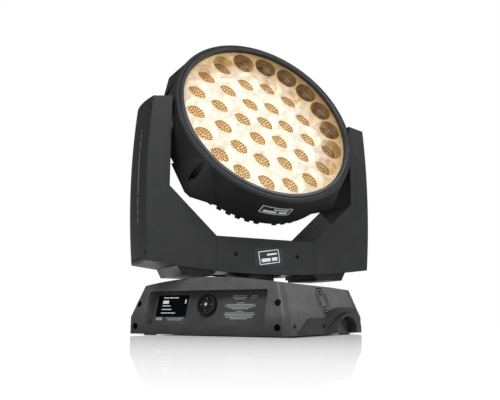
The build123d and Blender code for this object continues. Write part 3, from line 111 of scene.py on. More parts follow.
def add_node(tree, kind, **values):
    """A new node; values set its sockets by name, or else its settings."""
    node = tree.nodes.new(kind)
    for key, value in values.items():
        if key in node.inputs.keys():
            node.inputs[key].default_value = value
        else:
            setattr(node, key, value)
    return node


def noise(tree, scale, detail=4.0, rough=0.55):
    """Noise over object space."""
    coords = add_node(tree, "ShaderNodeTexCoord")
    tex = add_node(tree, "ShaderNodeTexNoise", Scale=scale, Detail=detail, Roughness=rough)
    tree.links.new(coords.outputs["Object"], tex.inputs["Vector"])
    return tex


def ramp(tree, source, stops):
    """Colour ramp with (position, colour) stops."""
    node = add_node(tree, "ShaderNodeValToRGB")
    while len(node.color_ramp.elements) < len(stops):
        node.color_ramp.elements.new(0.5)
    for element, (at, colour) in zip(node.color_ramp.elements, stops):
        element.position = at
        element.color = (*colour, 1)
    tree.links.new(source, node.inputs["Fac"])
    return node


def darkened(tree, colour, amount):
    """The colour multiplied by an amount from 0 to 1."""
    mix = add_node(tree, "ShaderNodeMix", data_type="RGBA", blend_type="MULTIPLY")
    mix.inputs[0].default_value = 1.0
    tree.links.new(colour, mix.inputs[6])
    tree.links.new(amount, mix.inputs[7])
    return mix.outputs[2]


def grained(name, dark, light, grain=900.0, bump=0.12, rough=(0.42, 0.6), speck=0.0, metallic=0.0,
            coarse=40.0, ground_shade=False):
    """Moulded or paint-coated surface: fine grain, uneven gloss and colour, painted shade that darkens
    corners and recesses, and optionally painted shade darkening it towards the floor.
    """
    mat, tree, shader = new_material(name)
    broad = noise(tree, coarse, 5.0)
    fine = noise(tree, grain, 3.0, 0.7)
    mix = add_node(tree, "ShaderNodeMix", data_type="FLOAT")
    mix.inputs[0].default_value = speck
    tree.links.new(broad.outputs["Fac"], mix.inputs[2])
    tree.links.new(fine.outputs["Fac"], mix.inputs[3])
    colour = ramp(tree, mix.outputs[0], ((0.32, dark), (0.68, light)))
    # Painted shade: ambient occlusion of the piece itself darkens the colour in its corners, slots and
    # recesses.
    corners = add_node(tree, "ShaderNodeAmbientOcclusion", Distance=0.012, only_local=True)
    corner_shade = add_node(tree, "ShaderNodeMapRange")
    corner_shade.inputs["From Min"].default_value = 0.25
    corner_shade.inputs["From Max"].default_value = 0.9
    corner_shade.inputs["To Min"].default_value = 0.1
    tree.links.new(corners.outputs["AO"], corner_shade.inputs["Value"])
    result = darkened(tree, colour.outputs["Color"], corner_shade.outputs["Result"])
    # Painted shade: the colour darkens towards the bottom, over the lowest few centimetres above the
    # floor, as a shadow near the ground.
    if ground_shade:
        coords = add_node(tree, "ShaderNodeTexCoord")
        split = add_node(tree, "ShaderNodeSeparateXYZ")
        tree.links.new(coords.outputs["Object"], split.inputs["Vector"])
        ground_shade_rise = add_node(tree, "ShaderNodeMapRange")
        ground_shade_rise.inputs["From Min"].default_value = 0.002
        ground_shade_rise.inputs["From Max"].default_value = 0.042
        ground_shade_rise.inputs["To Min"].default_value = 0.3
        tree.links.new(split.outputs["Z"], ground_shade_rise.inputs["Value"])
        result = darkened(tree, result, ground_shade_rise.outputs["Result"])
    tree.links.new(result, shader.inputs["Base Color"])
    spread = add_node(tree, "ShaderNodeMapRange")
    spread.inputs["From Min"].default_value = 0.3
    spread.inputs["From Max"].default_value = 0.7
    spread.inputs["To Min"].default_value = rough[0]
    spread.inputs["To Max"].default_value = rough[1]
    tree.links.new(broad.outputs["Fac"], spread.inputs["Value"])
    tree.links.new(spread.outputs["Result"], shader.inputs["Roughness"])
    height = add_node(tree, "ShaderNodeBump", Strength=bump, Distance=0.0004)
    tree.links.new(fine.outputs["Fac"], height.inputs["Height"])
    tree.links.new(height.outputs["Normal"], shader.inputs["Normal"])
    shader.inputs["Metallic"].default_value = metallic
    return mat


def brushed(name, dark, light, rough=(0.25, 0.42), metallic=1.0):
    """Machined or drawn metal with fine lines."""
    mat, tree, shader = new_material(name)
    coords = add_node(tree, "ShaderNodeTexCoord")
    squeeze = add_node(tree, "ShaderNodeMapping")
    squeeze.inputs["Scale"].default_value = (60, 60, 900)
    tex = add_node(tree, "ShaderNodeTexNoise", Scale=1.0, Detail=4.0)
    tree.links.new(coords.outputs["Object"], squeeze.inputs["Vector"])
    tree.links.new(squeeze.outputs["Vector"], tex.inputs["Vector"])
    colour = ramp(tree, tex.outputs["Fac"], ((0.3, dark), (0.7, light)))
    tree.links.new(colour.outputs["Color"], shader.inputs["Base Color"])
    spread = add_node(tree, "ShaderNodeMapRange")
    spread.inputs["To Min"].default_value = rough[0]
    spread.inputs["To Max"].default_value = rough[1]
    tree.links.new(tex.outputs["Fac"], spread.inputs["Value"])
    tree.links.new(spread.outputs["Result"], shader.inputs["Roughness"])
    shader.inputs["Metallic"].default_value = metallic
    return mat


MAT = {
    "charcoal_plastic": grained("charcoal_plastic", (0.04, 0.041, 0.043), (0.052, 0.053, 0.055),
                                grain=1500, bump=0.25, rough=(0.44, 0.54), speck=0.35),
    "base_texture": grained("base_texture", (0.035, 0.035, 0.036), (0.42, 0.421, 0.424), grain=900,
                            bump=0.5, rough=(0.4, 0.55), speck=0.85, ground_shade=True),
    "frame_texture": grained("frame_texture", (0.035, 0.035, 0.036), (0.3, 0.301, 0.303), grain=1100,
                             bump=0.4, rough=(0.42, 0.56), speck=0.8, ground_shade=True),
    "slate_ring": grained("slate_ring", (0.05, 0.053, 0.062), (0.065, 0.068, 0.078), grain=1500,
                          bump=0.1, rough=(0.3, 0.4)),
    "black_panel": grained("black_panel", (0.006, 0.006, 0.007), (0.012, 0.012, 0.013), grain=1500,
                           bump=0.15, rough=(0.35, 0.5)),
    "panel_film": grained("panel_film", (0.11, 0.111, 0.112), (0.14, 0.141, 0.143), grain=2000,
                          bump=0.08, rough=(0.3, 0.42)),
    "display": grained("display", (0.004, 0.005, 0.006), (0.006, 0.007, 0.009), grain=300, bump=0.01,
                       rough=(0.08, 0.14)),
    "grey_button": grained("grey_button", (0.05, 0.05, 0.052), (0.07, 0.07, 0.072), rough=(0.4, 0.5)),
    "black_steel": grained("black_steel", (0.015, 0.015, 0.016), (0.024, 0.024, 0.025), grain=700,
                           bump=0.4, rough=(0.45, 0.6)),
    "circuit_board": grained("circuit_board", (0.01, 0.06, 0.03), (0.02, 0.1, 0.05), rough=(0.3, 0.4)),
    "light_board": grained("light_board", (0.6, 0.6, 0.58), (0.75, 0.75, 0.72), rough=(0.3, 0.4)),
    "rubber": grained("rubber", (0.012, 0.012, 0.012), (0.022, 0.022, 0.022), grain=1200, bump=0.3,
                      rough=(0.7, 0.85)),
    "dark_label": grained("dark_label", (0.05, 0.052, 0.055), (0.062, 0.064, 0.067), grain=2000,
                          bump=0.05, rough=(0.35, 0.45)),
    "socket_blue": grained("socket_blue", (0.01, 0.03, 0.16), (0.014, 0.04, 0.22), rough=(0.4, 0.5)),
    "bare_steel": brushed("bare_steel", (0.42, 0.42, 0.42), (0.6, 0.6, 0.6)),
    "motor_steel": brushed("motor_steel", (0.04, 0.04, 0.042), (0.07, 0.07, 0.075), rough=(0.4, 0.55)),
    "aluminium": brushed("aluminium", (0.6, 0.6, 0.62), (0.78, 0.78, 0.8)),
    "black_screws": brushed("black_screws", (0.02, 0.02, 0.022), (0.05, 0.05, 0.052), rough=(0.3, 0.45)),
    "bright_screws": brushed("bright_screws", (0.16, 0.16, 0.16), (0.3, 0.3, 0.3)),
    "socket_nickel": brushed("socket_nickel", (0.35, 0.34, 0.31), (0.5, 0.49, 0.45)),
    "clear_guides": grained("clear_guides", (0.75, 0.7, 0.6), (0.85, 0.8, 0.7), rough=(0.1, 0.2)),
}


def print_material():
    """Pale screen-printed ink, slightly uneven."""
    return grained("pale_print", (0.78, 0.79, 0.8), (0.92, 0.93, 0.94), grain=3000, bump=0.05,
                   rough=(0.5, 0.6))


def glow_material(name, dark, light, strength):
    """Lit screen pixels, or marks and dots whose faint glow is painted light: pale, uneven and faintly
    glowing.
    """
    mat = grained(name, dark, light, grain=2500, bump=0.02, rough=(0.3, 0.4))
    shader = mat.node_tree.nodes["Principled BSDF"]
    shader.inputs["Emission Color"].default_value = (*light, 1)
    shader.inputs["Emission Strength"].default_value = strength
    return mat


PRINT = print_material()
# Painted light: the emblems on the plates glow faintly so that they read bright on shaded surfaces.
PLATE_PRINT_PAINTED_GLOW = glow_material("plate_print_painted_glow", (0.75, 0.76, 0.77), (0.9, 0.91, 0.92), 0.35)
# The lit screen glows for real; this material also makes the jog button's glowing dot, a painted
# highlight.
PIXELS = glow_material("screen_pixels", (0.6, 0.6, 0.6), (0.85, 0.86, 0.88), 0.5)


def lens_material():
    """Clear moulded lens with slight flow marks and a glossy skin that is stronger at grazing views."""
    mat, tree, shader = new_material("lens_clear")
    tex = noise(tree, 160.0, 3.0)
    bump = add_node(tree, "ShaderNodeBump", Strength=0.08, Distance=0.0006)
    tree.links.new(tex.outputs["Fac"], bump.inputs["Height"])
    tint = ramp(tree, tex.outputs["Fac"], ((0.3, (0.97, 0.93, 0.86)), (0.7, (1.0, 0.99, 0.97))))
    clear = add_node(tree, "ShaderNodeBsdfTransparent")
    tree.links.new(tint.outputs["Color"], clear.inputs["Color"])
    gloss = add_node(tree, "ShaderNodeBsdfAnisotropic", Roughness=0.25)
    tree.links.new(bump.outputs["Normal"], gloss.inputs["Normal"])
    facing = add_node(tree, "ShaderNodeLayerWeight", Blend=0.3)
    grazing = math_node(tree, "POWER", facing.outputs["Facing"], 3.0)
    skin = math_node(tree, "MULTIPLY_ADD", grazing, 0.35, 0.012)
    mix = add_node(tree, "ShaderNodeMixShader")
    tree.links.new(skin, mix.inputs[0])
    tree.links.new(clear.outputs[0], mix.inputs[1])
    tree.links.new(gloss.outputs[0], mix.inputs[2])
    tree.links.new(mix.outputs[0], tree.nodes["Material Output"].inputs["Surface"])
    tree.nodes.remove(shader)
    return mat


def face_position(tree):
    """Head-space position on the lens face, as separate across and up values in metres."""
    coords = add_node(tree, "ShaderNodeTexCoord")
    place = add_node(tree, "ShaderNodeMapping")
    place.vector_type = "TEXTURE"
    place.inputs["Location"].default_value = HEAD_CENTRE
    place.inputs["Rotation"].default_value = HEAD.to_euler()
    split = add_node(tree, "ShaderNodeSeparateXYZ")
    tree.links.new(coords.outputs["Object"], place.inputs["Vector"])
    tree.links.new(place.outputs["Vector"], split.inputs["Vector"])
    return split


def math_node(tree, operation, a, b=None, c=None):
    """Output of a maths node; each input is a number or a socket."""
    node = add_node(tree, "ShaderNodeMath", operation=operation)
    for i, value in enumerate((a, b, c)):
        if value is None:
            continue
        if isinstance(value, (int, float)):
            node.inputs[i].default_value = value
        else:
            tree.links.new(value, node.inputs[i])
    return node.outputs[0]


def painted_glow_cell(name, inner, outer, shade, strength, low, high, gloss=0.5):
    """Warm moulding with painted light: it glows to stand in for the light it reflects, is paler
    mid-array, and has painted shade making it more amber and dimmer towards the upper right rim.
    """
    mat, tree, shader = new_material(name)
    place = face_position(tree)
    x, z = place.outputs["X"], place.outputs["Z"]
    # Painted shade: distance from the middle, pushed towards the upper right, sets where the colour
    # turns amber and dark.
    drift = math_node(tree, "MULTIPLY_ADD", x, 0.66, math_node(tree, "MULTIPLY", z, 0.75))
    square = math_node(tree, "MULTIPLY_ADD", x, x, math_node(tree, "MULTIPLY", z, z))
    radius = math_node(tree, "SQRT", square)
    rim = math_node(tree, "MULTIPLY_ADD", radius, 0.8, math_node(tree, "MULTIPLY", drift, 0.3))
    cloudy = noise(tree, 55.0, 4.0)
    wobble = math_node(tree, "MULTIPLY", math_node(tree, "SUBTRACT", cloudy.outputs["Fac"], 0.5), 0.03)
    amount = math_node(tree, "ADD", rim, wobble)
    spread = add_node(tree, "ShaderNodeMapRange")
    spread.inputs["From Min"].default_value = low
    spread.inputs["From Max"].default_value = high
    tree.links.new(amount, spread.inputs["Value"])
    colour = ramp(tree, spread.outputs["Result"], ((0.0, inner), (0.62, outer), (1.0, shade)))
    tree.links.new(colour.outputs["Color"], shader.inputs["Base Color"])
    # Painted light: the same colour is given out as glow, though the moulding is no lamp.
    tree.links.new(colour.outputs["Color"], shader.inputs["Emission Color"])
    # Painted highlight and shade: noise makes the glow brighter and dimmer in soft blotches.
    highlight_blotches = noise(tree, 95.0, 2.0)
    glow = math_node(tree, "MULTIPLY_ADD", highlight_blotches.outputs["Fac"], 2.8 * strength, -0.35 * strength)
    tree.links.new(glow, shader.inputs["Emission Strength"])
    shader.inputs["Roughness"].default_value = 0.3
    shader.inputs["Specular IOR Level"].default_value = gloss
    bump = add_node(tree, "ShaderNodeBump", Strength=0.35, Distance=0.001)
    tree.links.new(cloudy.outputs["Fac"], bump.inputs["Height"])
    tree.links.new(bump.outputs["Normal"], shader.inputs["Normal"])
    return mat


# Each runs from its mid-array colour to its rim colours, which are painted shade. The numbers are
# painted glow, where the painted shade starts and ends, and gloss.
CELL = painted_glow_cell("cell_wall", (1.0, 0.96, 0.9), (0.5, 0.33, 0.14), (0.16, 0.095, 0.035),
                    0.5, 0.097, 0.15)
WEB = painted_glow_cell("cell_web", (0.9, 0.85, 0.78), (0.66, 0.49, 0.28), (0.3, 0.19, 0.08),
                   0.34, 0.075, 0.165)
CORE = painted_glow_cell("light_core", (0.6, 0.41, 0.19), (0.33, 0.2, 0.07), (0.14, 0.075, 0.022),
                    0.34, 0.097, 0.15, 0.2)
DOT = painted_glow_cell("core_dot", (0.05, 0.022, 0.006), (0.03, 0.014, 0.004), (0.012, 0.006, 0.002),
                   0.02, 0.097, 0.15, 0.05)


# ---------------------------------------------------------------- materials of the CAD nodes

slot_of = {s["node"]: s["material_slot"] for s in frame["record"]["subparts"]}
SPECIAL = {
    "front_frame": "frame_texture",
    "rear_frame": "frame_texture",
    "base_casing": "base_texture",
    "control_panel": "panel_film",
    "under_covers": "black_panel",
    "pan_neck": "motor_steel",
}
MAT["lens"] = lens_material()
for name, gloss in (("display", 0.15), ("charcoal_plastic", 0.32)):
    MAT[name].node_tree.nodes["Principled BSDF"].inputs["Specular IOR Level"].default_value = gloss
for name, obj in nodes.items():
    obj.data.materials.clear()
    obj.data.materials.append(MAT[SPECIAL.get(name, slot_of[name])])


# ---------------------------------------------------------------- mesh helpers

def mesh_piece(name, verts, faces, material, body, smooth=False, materials=None, face_slots=None):
    """A mesh object that rides on a body."""
    mesh = bpy.data.meshes.new(name)
    mesh.from_pydata([tuple(v) for v in verts], [], faces)
    mesh.validate()
    obj = bpy.data.objects.new(name, mesh)
    bpy.context.scene.collection.objects.link(obj)
    for m in materials or [material]:
        mesh.materials.append(m)
    if face_slots:
        for poly, index in zip(mesh.polygons, face_slots):
            poly.material_index = index
    if smooth:
        for poly in mesh.polygons:
            poly.use_smooth = True
    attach(obj, body)
    return obj


class Build:
    """Collects corners and faces of one piece."""

    def __init__(self):
        self.verts, self.faces, self.slots = [], [], []

    def face(self, ids, slot=0):
        self.faces.append(ids)
        self.slots.append(slot)

    def slab(self, origin, across, up, out, width, height, depth, slot=0):
        """A thin bar centred on origin that stands depth proud along out."""
        base = len(self.verts)
        for lift in (0.0, depth):
            for sx, sy in ((-1, -1), (1, -1), (1, 1), (-1, 1)):
                corner = origin + across * (sx * width / 2) + up * (sy * height / 2)
                self.verts.append(corner + out * lift)
        quads = ((3, 2, 1, 0), (4, 5, 6, 7), (0, 1, 5, 4), (1, 2, 6, 5), (2, 3, 7, 6), (3, 0, 4, 7))
        for quad in quads:
            self.face([base + i for i in quad], slot)


# ---------------------------------------------------------------- lens cells behind the clear lens disc

# Profiles are (radius, forward) from the lens axis and the tilt axis; dot rings are (radius, count).
CELL_PROFILE = ((0.0221, 0.0586), (0.0219, 0.0560), (0.0205, 0.0520), (0.0195, 0.0480), (0.0182, 0.0425))
CORE_PROFILE = ((0.0182, 0.0425), (0.0140, 0.0434), (0.0090, 0.0440), (0.0040, 0.0443))
DOT_RINGS = ((0.0046, 5), (0.0088, 10), (0.0130, 15), (0.0167, 20))
DOT_R = 0.00155
DOT_RISE = 0.0008
DOT_SIDES = 6
SEGMENTS = 40
WEB_R = 0.1618
WEB_FORWARD = 0.0584


def head_point(x, forward, z):
    """Place of a point given across, forward and up in the head."""
    return HEAD @ Vector((x, -forward, z))


def core_height(radius):
    """How far forward the light guide's end is at a radius."""
    for (r0, f0), (r1, f1) in zip(CORE_PROFILE, CORE_PROFILE[1:]):
        if r1 <= radius <= r0:
            return f0 + (f1 - f0) * (r0 - radius) / (r0 - r1)
    return CORE_PROFILE[-1][1]


def lens_cells():
    """One tapered cup per lens with a crowned, dotted light guide end at its bottom."""
    build = Build()
    for cx, cz in lens_spots():
        rings = []
        for radius, forward in CELL_PROFILE + CORE_PROFILE[1:]:
            start = len(build.verts)
            for i in range(SEGMENTS):
                a = 2 * math.pi * i / SEGMENTS
                x, z = cx + radius * math.cos(a), cz + radius * math.sin(a)
                build.verts.append(head_point(x, forward, z))
            rings.append(start)
        for step, (upper, lower) in enumerate(zip(rings, rings[1:])):
            slot = 0 if step < len(CELL_PROFILE) - 1 else 1
            for i in range(SEGMENTS):
                j = (i + 1) % SEGMENTS
                build.face([upper + j, upper + i, lower + i, lower + j], slot)
        build.face([rings[-1] + i for i in reversed(range(SEGMENTS))], 1)
        for radius, count in DOT_RINGS:
            for i in range(count):
                a = 2 * math.pi * (i + 0.5 * (count % 2)) / count
                px, pz = cx + radius * math.cos(a), cz + radius * math.sin(a)
                low = core_height(radius) + 0.0001
                base = len(build.verts)
                for k in range(DOT_SIDES):
                    b = 2 * math.pi * k / DOT_SIDES
                    x, z = px + DOT_R * math.cos(b), pz + DOT_R * math.sin(b)
                    build.verts.append(head_point(x, low, z))
                build.verts.append(head_point(px, low + DOT_RISE, pz))
                for k in range(DOT_SIDES):
                    build.face([base + k, base + (k + 1) % DOT_SIDES, base + DOT_SIDES], 2)
                build.face([base + k for k in reversed(range(DOT_SIDES))], 2)
    obj = mesh_piece("lens_cells", build.verts, build.faces, None, "lens", True, [CELL, CORE, DOT],
                     build.slots)
    return obj


def cell_web():
    """The plate between the cups, cut round with a hole for each."""
    curve = bpy.data.curves.new("cell_web", "CURVE")
    curve.dimensions = "2D"
    curve.fill_mode = "BOTH"
    curve.extrude = 0.0004

    def loop(cx, cz, radius, count):
        spline = curve.splines.new("POLY")
        spline.points.add(count - 1)
        for i in range(count):
            a = 2 * math.pi * i / count
            spline.points[i].co = (cx + radius * math.cos(a), cz + radius * math.sin(a), 0, 1)
        spline.use_cyclic_u = True

    loop(0, 0, WEB_R, 180)
    for cx, cz in lens_spots():
        loop(cx, cz, CELL_PROFILE[0][0], SEGMENTS)
    holder = bpy.data.objects.new("cell_web_curve", curve)
    bpy.context.scene.collection.objects.link(holder)
    bpy.context.view_layer.update()
    mesh = bpy.data.meshes.new_from_object(holder.evaluated_get(bpy.context.evaluated_depsgraph_get()))
    bpy.data.objects.remove(holder)
    flat = Matrix(((1, 0, 0, 0), (0, 0, -1, -WEB_FORWARD), (0, 1, 0, 0), (0, 0, 0, 1)))
    mesh.transform(HEAD @ flat)
    mesh.name = "cell_web"
    mesh.materials.clear()
    mesh.materials.append(WEB)
    obj = bpy.data.objects.new("cell_web", mesh)
    bpy.context.scene.collection.objects.link(obj)
    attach(obj, "lens")
    return obj


lens_cells()
cell_web()


# ---------------------------------------------------------------- display, printed marks and plates

def panel_marks():
    """Generic menu bars on the screen and grey bars where the printed notes are."""
    rng = random.Random(7)
    across = Vector((1, 0, 0))
    low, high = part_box("display_screen")
    face = JOG_CENTRE + across * ((low.x + high.x) / 2 - JOG_CENTRE.x) + PANEL_NORMAL * 0.0006

    screen = Build()

    def pixel(dx, dz, width, height, slot=0):
        spot = face + across * dx + PANEL_UP * dz
        screen.slab(spot, across, PANEL_UP, PANEL_NORMAL, width, height, 0.00012, slot)

    x = -0.020
    for width in (0.005, 0.006, 0.009, 0.004, 0.007):
        pixel(x + width / 2, 0.0135, width * 0.85, 0.0016)
        x += width
    pixel(-0.014, 0.0062, 0.012, 0.0052)
    for row, total in ((-0.0002, 0.016), (-0.0062, 0.020), (-0.0122, 0.026)):
        x = -0.020
        while x < -0.020 + total:
            width = rng.uniform(0.002, 0.006)
            pixel(x + width / 2, row, width * 0.8, 0.0014)
            x += width
    pixel(0.0262, 0.0072, 0.0022, 0.0068)
    obj = mesh_piece("screen_marks", screen.verts, screen.faces, PIXELS, "base")

    marks = Build()
    ground = JOG_CENTRE + PANEL_NORMAL * 0.00001

    def line(cx, dz, total, height=0.0012):
        x = cx - total / 2
        while x < cx + total / 2:
            width = rng.uniform(0.0016, 0.0045)
            width = min(width, cx + total / 2 - x + 0.0005)
            spot = ground + across * (x + width / 2 - JOG_CENTRE.x) + PANEL_UP * dz
            marks.slab(spot, across, PANEL_UP, PANEL_NORMAL, width * 0.8, height, 0.00008)
            x += width

    for dz, total in ((0.0155, 0.024), (0.0128, 0.026), (0.0103, 0.018)):
        line(0.052, dz, total)
    for cx in (0.075, 0.081):
        line(cx, 0.0150, 0.004, 0.0018)
        line(cx, 0.0118, 0.004, 0.0009)
    for dz, total in ((0.0040, 0.012), (0.0015, 0.050), (-0.0008, 0.056), (-0.0031, 0.044),
                      (-0.0054, 0.030), (-0.0095, 0.012), (-0.0120, 0.052), (-0.0143, 0.056),
                      (-0.0166, 0.050), (-0.0189, 0.048), (-0.0212, 0.030)):
        line(0.055, dz, total)
    for dz, total in ((-0.0208, 0.036), (-0.0236, 0.028)):
        line(-0.066, dz, total)
    line(-0.098, -0.0220, 0.012, 0.0046)
    obj = mesh_piece("panel_marks", marks.verts, marks.faces, PRINT, "base")


def knob_marks():
    """Dots round the jog ring, and a glowing dot in its middle that is a painted highlight."""
    across = Vector((1, 0, 0))
    build = Build()

    def dot(angle, radius, size, lift):
        centre = JOG_CENTRE + PANEL_NORMAL * lift
        centre = centre + across * (radius * math.cos(angle)) + PANEL_UP * (radius * math.sin(angle))
        base = len(build.verts)
        for height, scale in ((0.0, 1.0), (0.0002, 0.9)):
            for k in range(16):
                a = 2 * math.pi * k / 16
                build.verts.append(centre + across * (size * scale * math.cos(a))
                                   + PANEL_UP * (size * scale * math.sin(a)) + PANEL_NORMAL * height)
        for k in range(16):
            j = (k + 1) % 16
            build.face([base + k, base + j, base + 16 + j, base + 16 + k])
        build.face([base + 16 + k for k in range(16)])
        build.face([base + k for k in reversed(range(16))])

    for quarter in range(4):
        dot(quarter * math.pi / 2, 0.0098, 0.0007, 0.0069)
    obj = mesh_piece("jog_dots", build.verts, build.faces, PRINT, "jog")
    build.verts, build.faces = [], []
    # Painted highlight: the button's middle dot glows with the screen-pixel material.
    dot(0.0, 0.0, 0.0021, 0.0078)
    obj = mesh_piece("button_highlight_dot", build.verts, build.faces, PIXELS, "button")


EMBLEM_LINE = 0.0013
EMBLEM_LIFT = 0.00015


def emblem(name, body, place, width, height, tilt, slot):
    """A plain outlined plaque with three bars, drawn by place(u, v, lift) onto flat or curved plates."""
    build = Build()

    def bar(u0, v0, u1, v1, thick):
        length = math.hypot(u1 - u0, v1 - v0)
        nu, nv = -(v1 - v0) / length * thick / 2, (u1 - u0) / length * thick / 2
        steps = max(2, int(length / 0.002))
        start = len(build.verts)
        for i in range(steps + 1):
            t = i / steps
            u, v = u0 + (u1 - u0) * t, v0 + (v1 - v0) * t
            for lift in (0.0, EMBLEM_LIFT):
                for side in (1, -1):
                    uu, vv = u + side * nu, v + side * nv
                    c, s = math.cos(tilt), math.sin(tilt)
                    build.verts.append(place(uu * c - vv * s, uu * s + vv * c, lift))
        for i in range(steps):
            a, b = start + 4 * i, start + 4 * (i + 1)
            build.face([a + 2, a + 3, b + 3, b + 2])
            build.face([a, a + 2, b + 2, b])
            build.face([a + 3, a + 1, b + 1, b + 3])
            build.face([a + 1, a, b, b + 1])
        end = start + 4 * steps
        build.face([start, start + 1, start + 3, start + 2])
        build.face([end + 2, end + 3, end + 1, end])

    w, h = width / 2, height / 2
    bar(-w, -h, w, -h, EMBLEM_LINE)
    bar(w, -h, w, h, EMBLEM_LINE)
    bar(w, h, -w, h, EMBLEM_LINE)
    bar(-w, h, -w, -h, EMBLEM_LINE)
    bar(-0.8 * w, -0.4 * h, 0.1 * w, -0.4 * h, 0.26 * height)
    bar(0.25 * w, -0.4 * h, 0.8 * w, -0.4 * h, 0.26 * height)
    bar(-0.2 * w, 0.4 * h, 0.8 * w, 0.4 * h, 0.14 * height)
    # The emblem glows faintly: painted light.
    obj = mesh_piece(name, build.verts, build.faces, PLATE_PRINT_PAINTED_GLOW, body)


YOKE_FRONT = 0.0550
PLATE_MARK_SIZE = (0.039, 0.022)
PLATE_MARK_TILT = math.radians(9)


def name_plate_mark():
    """Emblem on the plate in the middle of the yoke."""
    low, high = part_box("name_plate")
    centre = (low + high) / 2
    out = YOKE.to_3x3() @ Vector((0, -1, 0))
    across = YOKE.to_3x3() @ Vector((1, 0, 0))
    local = YOKE.inverted() @ centre
    face = YOKE @ Vector((local.x, -YOKE_FRONT, local.z))
    up = Vector((0, 0, 1))

    def place(u, v, lift):
        return face + across * u + up * v + out * lift

    emblem("name_plate_mark", "yoke", place, *PLATE_MARK_SIZE, PLATE_MARK_TILT, "dark_label")


BADGE_R = 0.1787
BADGE_FORWARD = 0.031
BADGE_SHIFT = 0.006
BADGE_MARK_SIZE = (0.057, 0.019)


def badge_mark():
    """Emblem on the curved badge under the lens ring."""

    def place(u, v, lift):
        angle = -math.pi / 2 + (u - BADGE_SHIFT) / BADGE_R
        r = BADGE_R + lift
        return HEAD @ Vector((r * math.cos(angle), -BADGE_FORWARD - v, r * math.sin(angle)))

    emblem("badge_mark", "head", place, *BADGE_MARK_SIZE, 0.0, "dark_label")


# The side cover of an arm bows out by SIDE_BOW over its height and by SIDE_CROWN over its depth.
SIDE_X, SIDE_BOW, SIDE_HALF_HEIGHT, SIDE_MID_Z = 0.222, 0.007, 0.137, 0.252
SIDE_CROWN, SIDE_CROWN_Y, SIDE_HALF_DEPTH = 0.0055, -0.005, 0.0492
STRIPE_Y, STRIPE_TOP, STRIPE_BOTTOM, STRIPE_HALF = -0.024, 0.335, 0.178, 0.0008


def side_stripe():
    """Row of small plain dashes down the outer side of the left arm."""
    bow_r = (SIDE_HALF_HEIGHT ** 2 + SIDE_BOW ** 2) / (2 * SIDE_BOW)
    rng = random.Random(11)
    build = Build()

    def outer(y, z):
        edge = SIDE_X - (bow_r - math.sqrt(bow_r ** 2 - (z - SIDE_MID_Z) ** 2))
        return edge + SIDE_CROWN * (1 - ((y - SIDE_CROWN_Y) / SIDE_HALF_DEPTH) ** 2)

    y, z = STRIPE_Y, STRIPE_TOP
    while z > STRIPE_BOTTOM:
        size = rng.uniform(0.0015, 0.0042)
        gap = rng.choice((0.0012, 0.0012, 0.0012, 0.005))
        base = len(build.verts)
        for lift in (-0.0002, 0.0003):
            for dy, dz in ((-STRIPE_HALF, 0), (STRIPE_HALF, 0), (STRIPE_HALF, -size),
                           (-STRIPE_HALF, -size)):
                x = -outer(y + dy, z + dz) - lift
                build.verts.append(YOKE @ Vector((x, y + dy, z + dz)))
        for quad in ((4, 5, 6, 7), (0, 3, 2, 1), (0, 1, 5, 4), (1, 2, 6, 5), (2, 3, 7, 6), (3, 0, 4, 7)):
            build.face([base + i for i in quad])
        z -= size + gap
    obj = mesh_piece("side_stripe", build.verts, build.faces, PRINT, "yoke")


panel_marks()
knob_marks()
name_plate_mark()
badge_mark()
side_stripe()


# ---------------------------------------------------------------- floor, light and camera

AMBIENT = 0.10
FLOOR_HALF = 6
FLOOR_GAP = 0.0002
FLOOR_GLOW = 1.0
# (distance, mirror share) where the sheen starts and stops fading
SHEEN_NEAR = (0.14, 0.6)
SHEEN_FAR = (0.85, 0.02)

YAW, PITCH, ROLL = math.radians(29.68), math.radians(10.98), math.radians(0.21)
CAMERA_SPOT = (0.5375, -0.9555, 0.0278)
CAMERA_LENS = 43.39


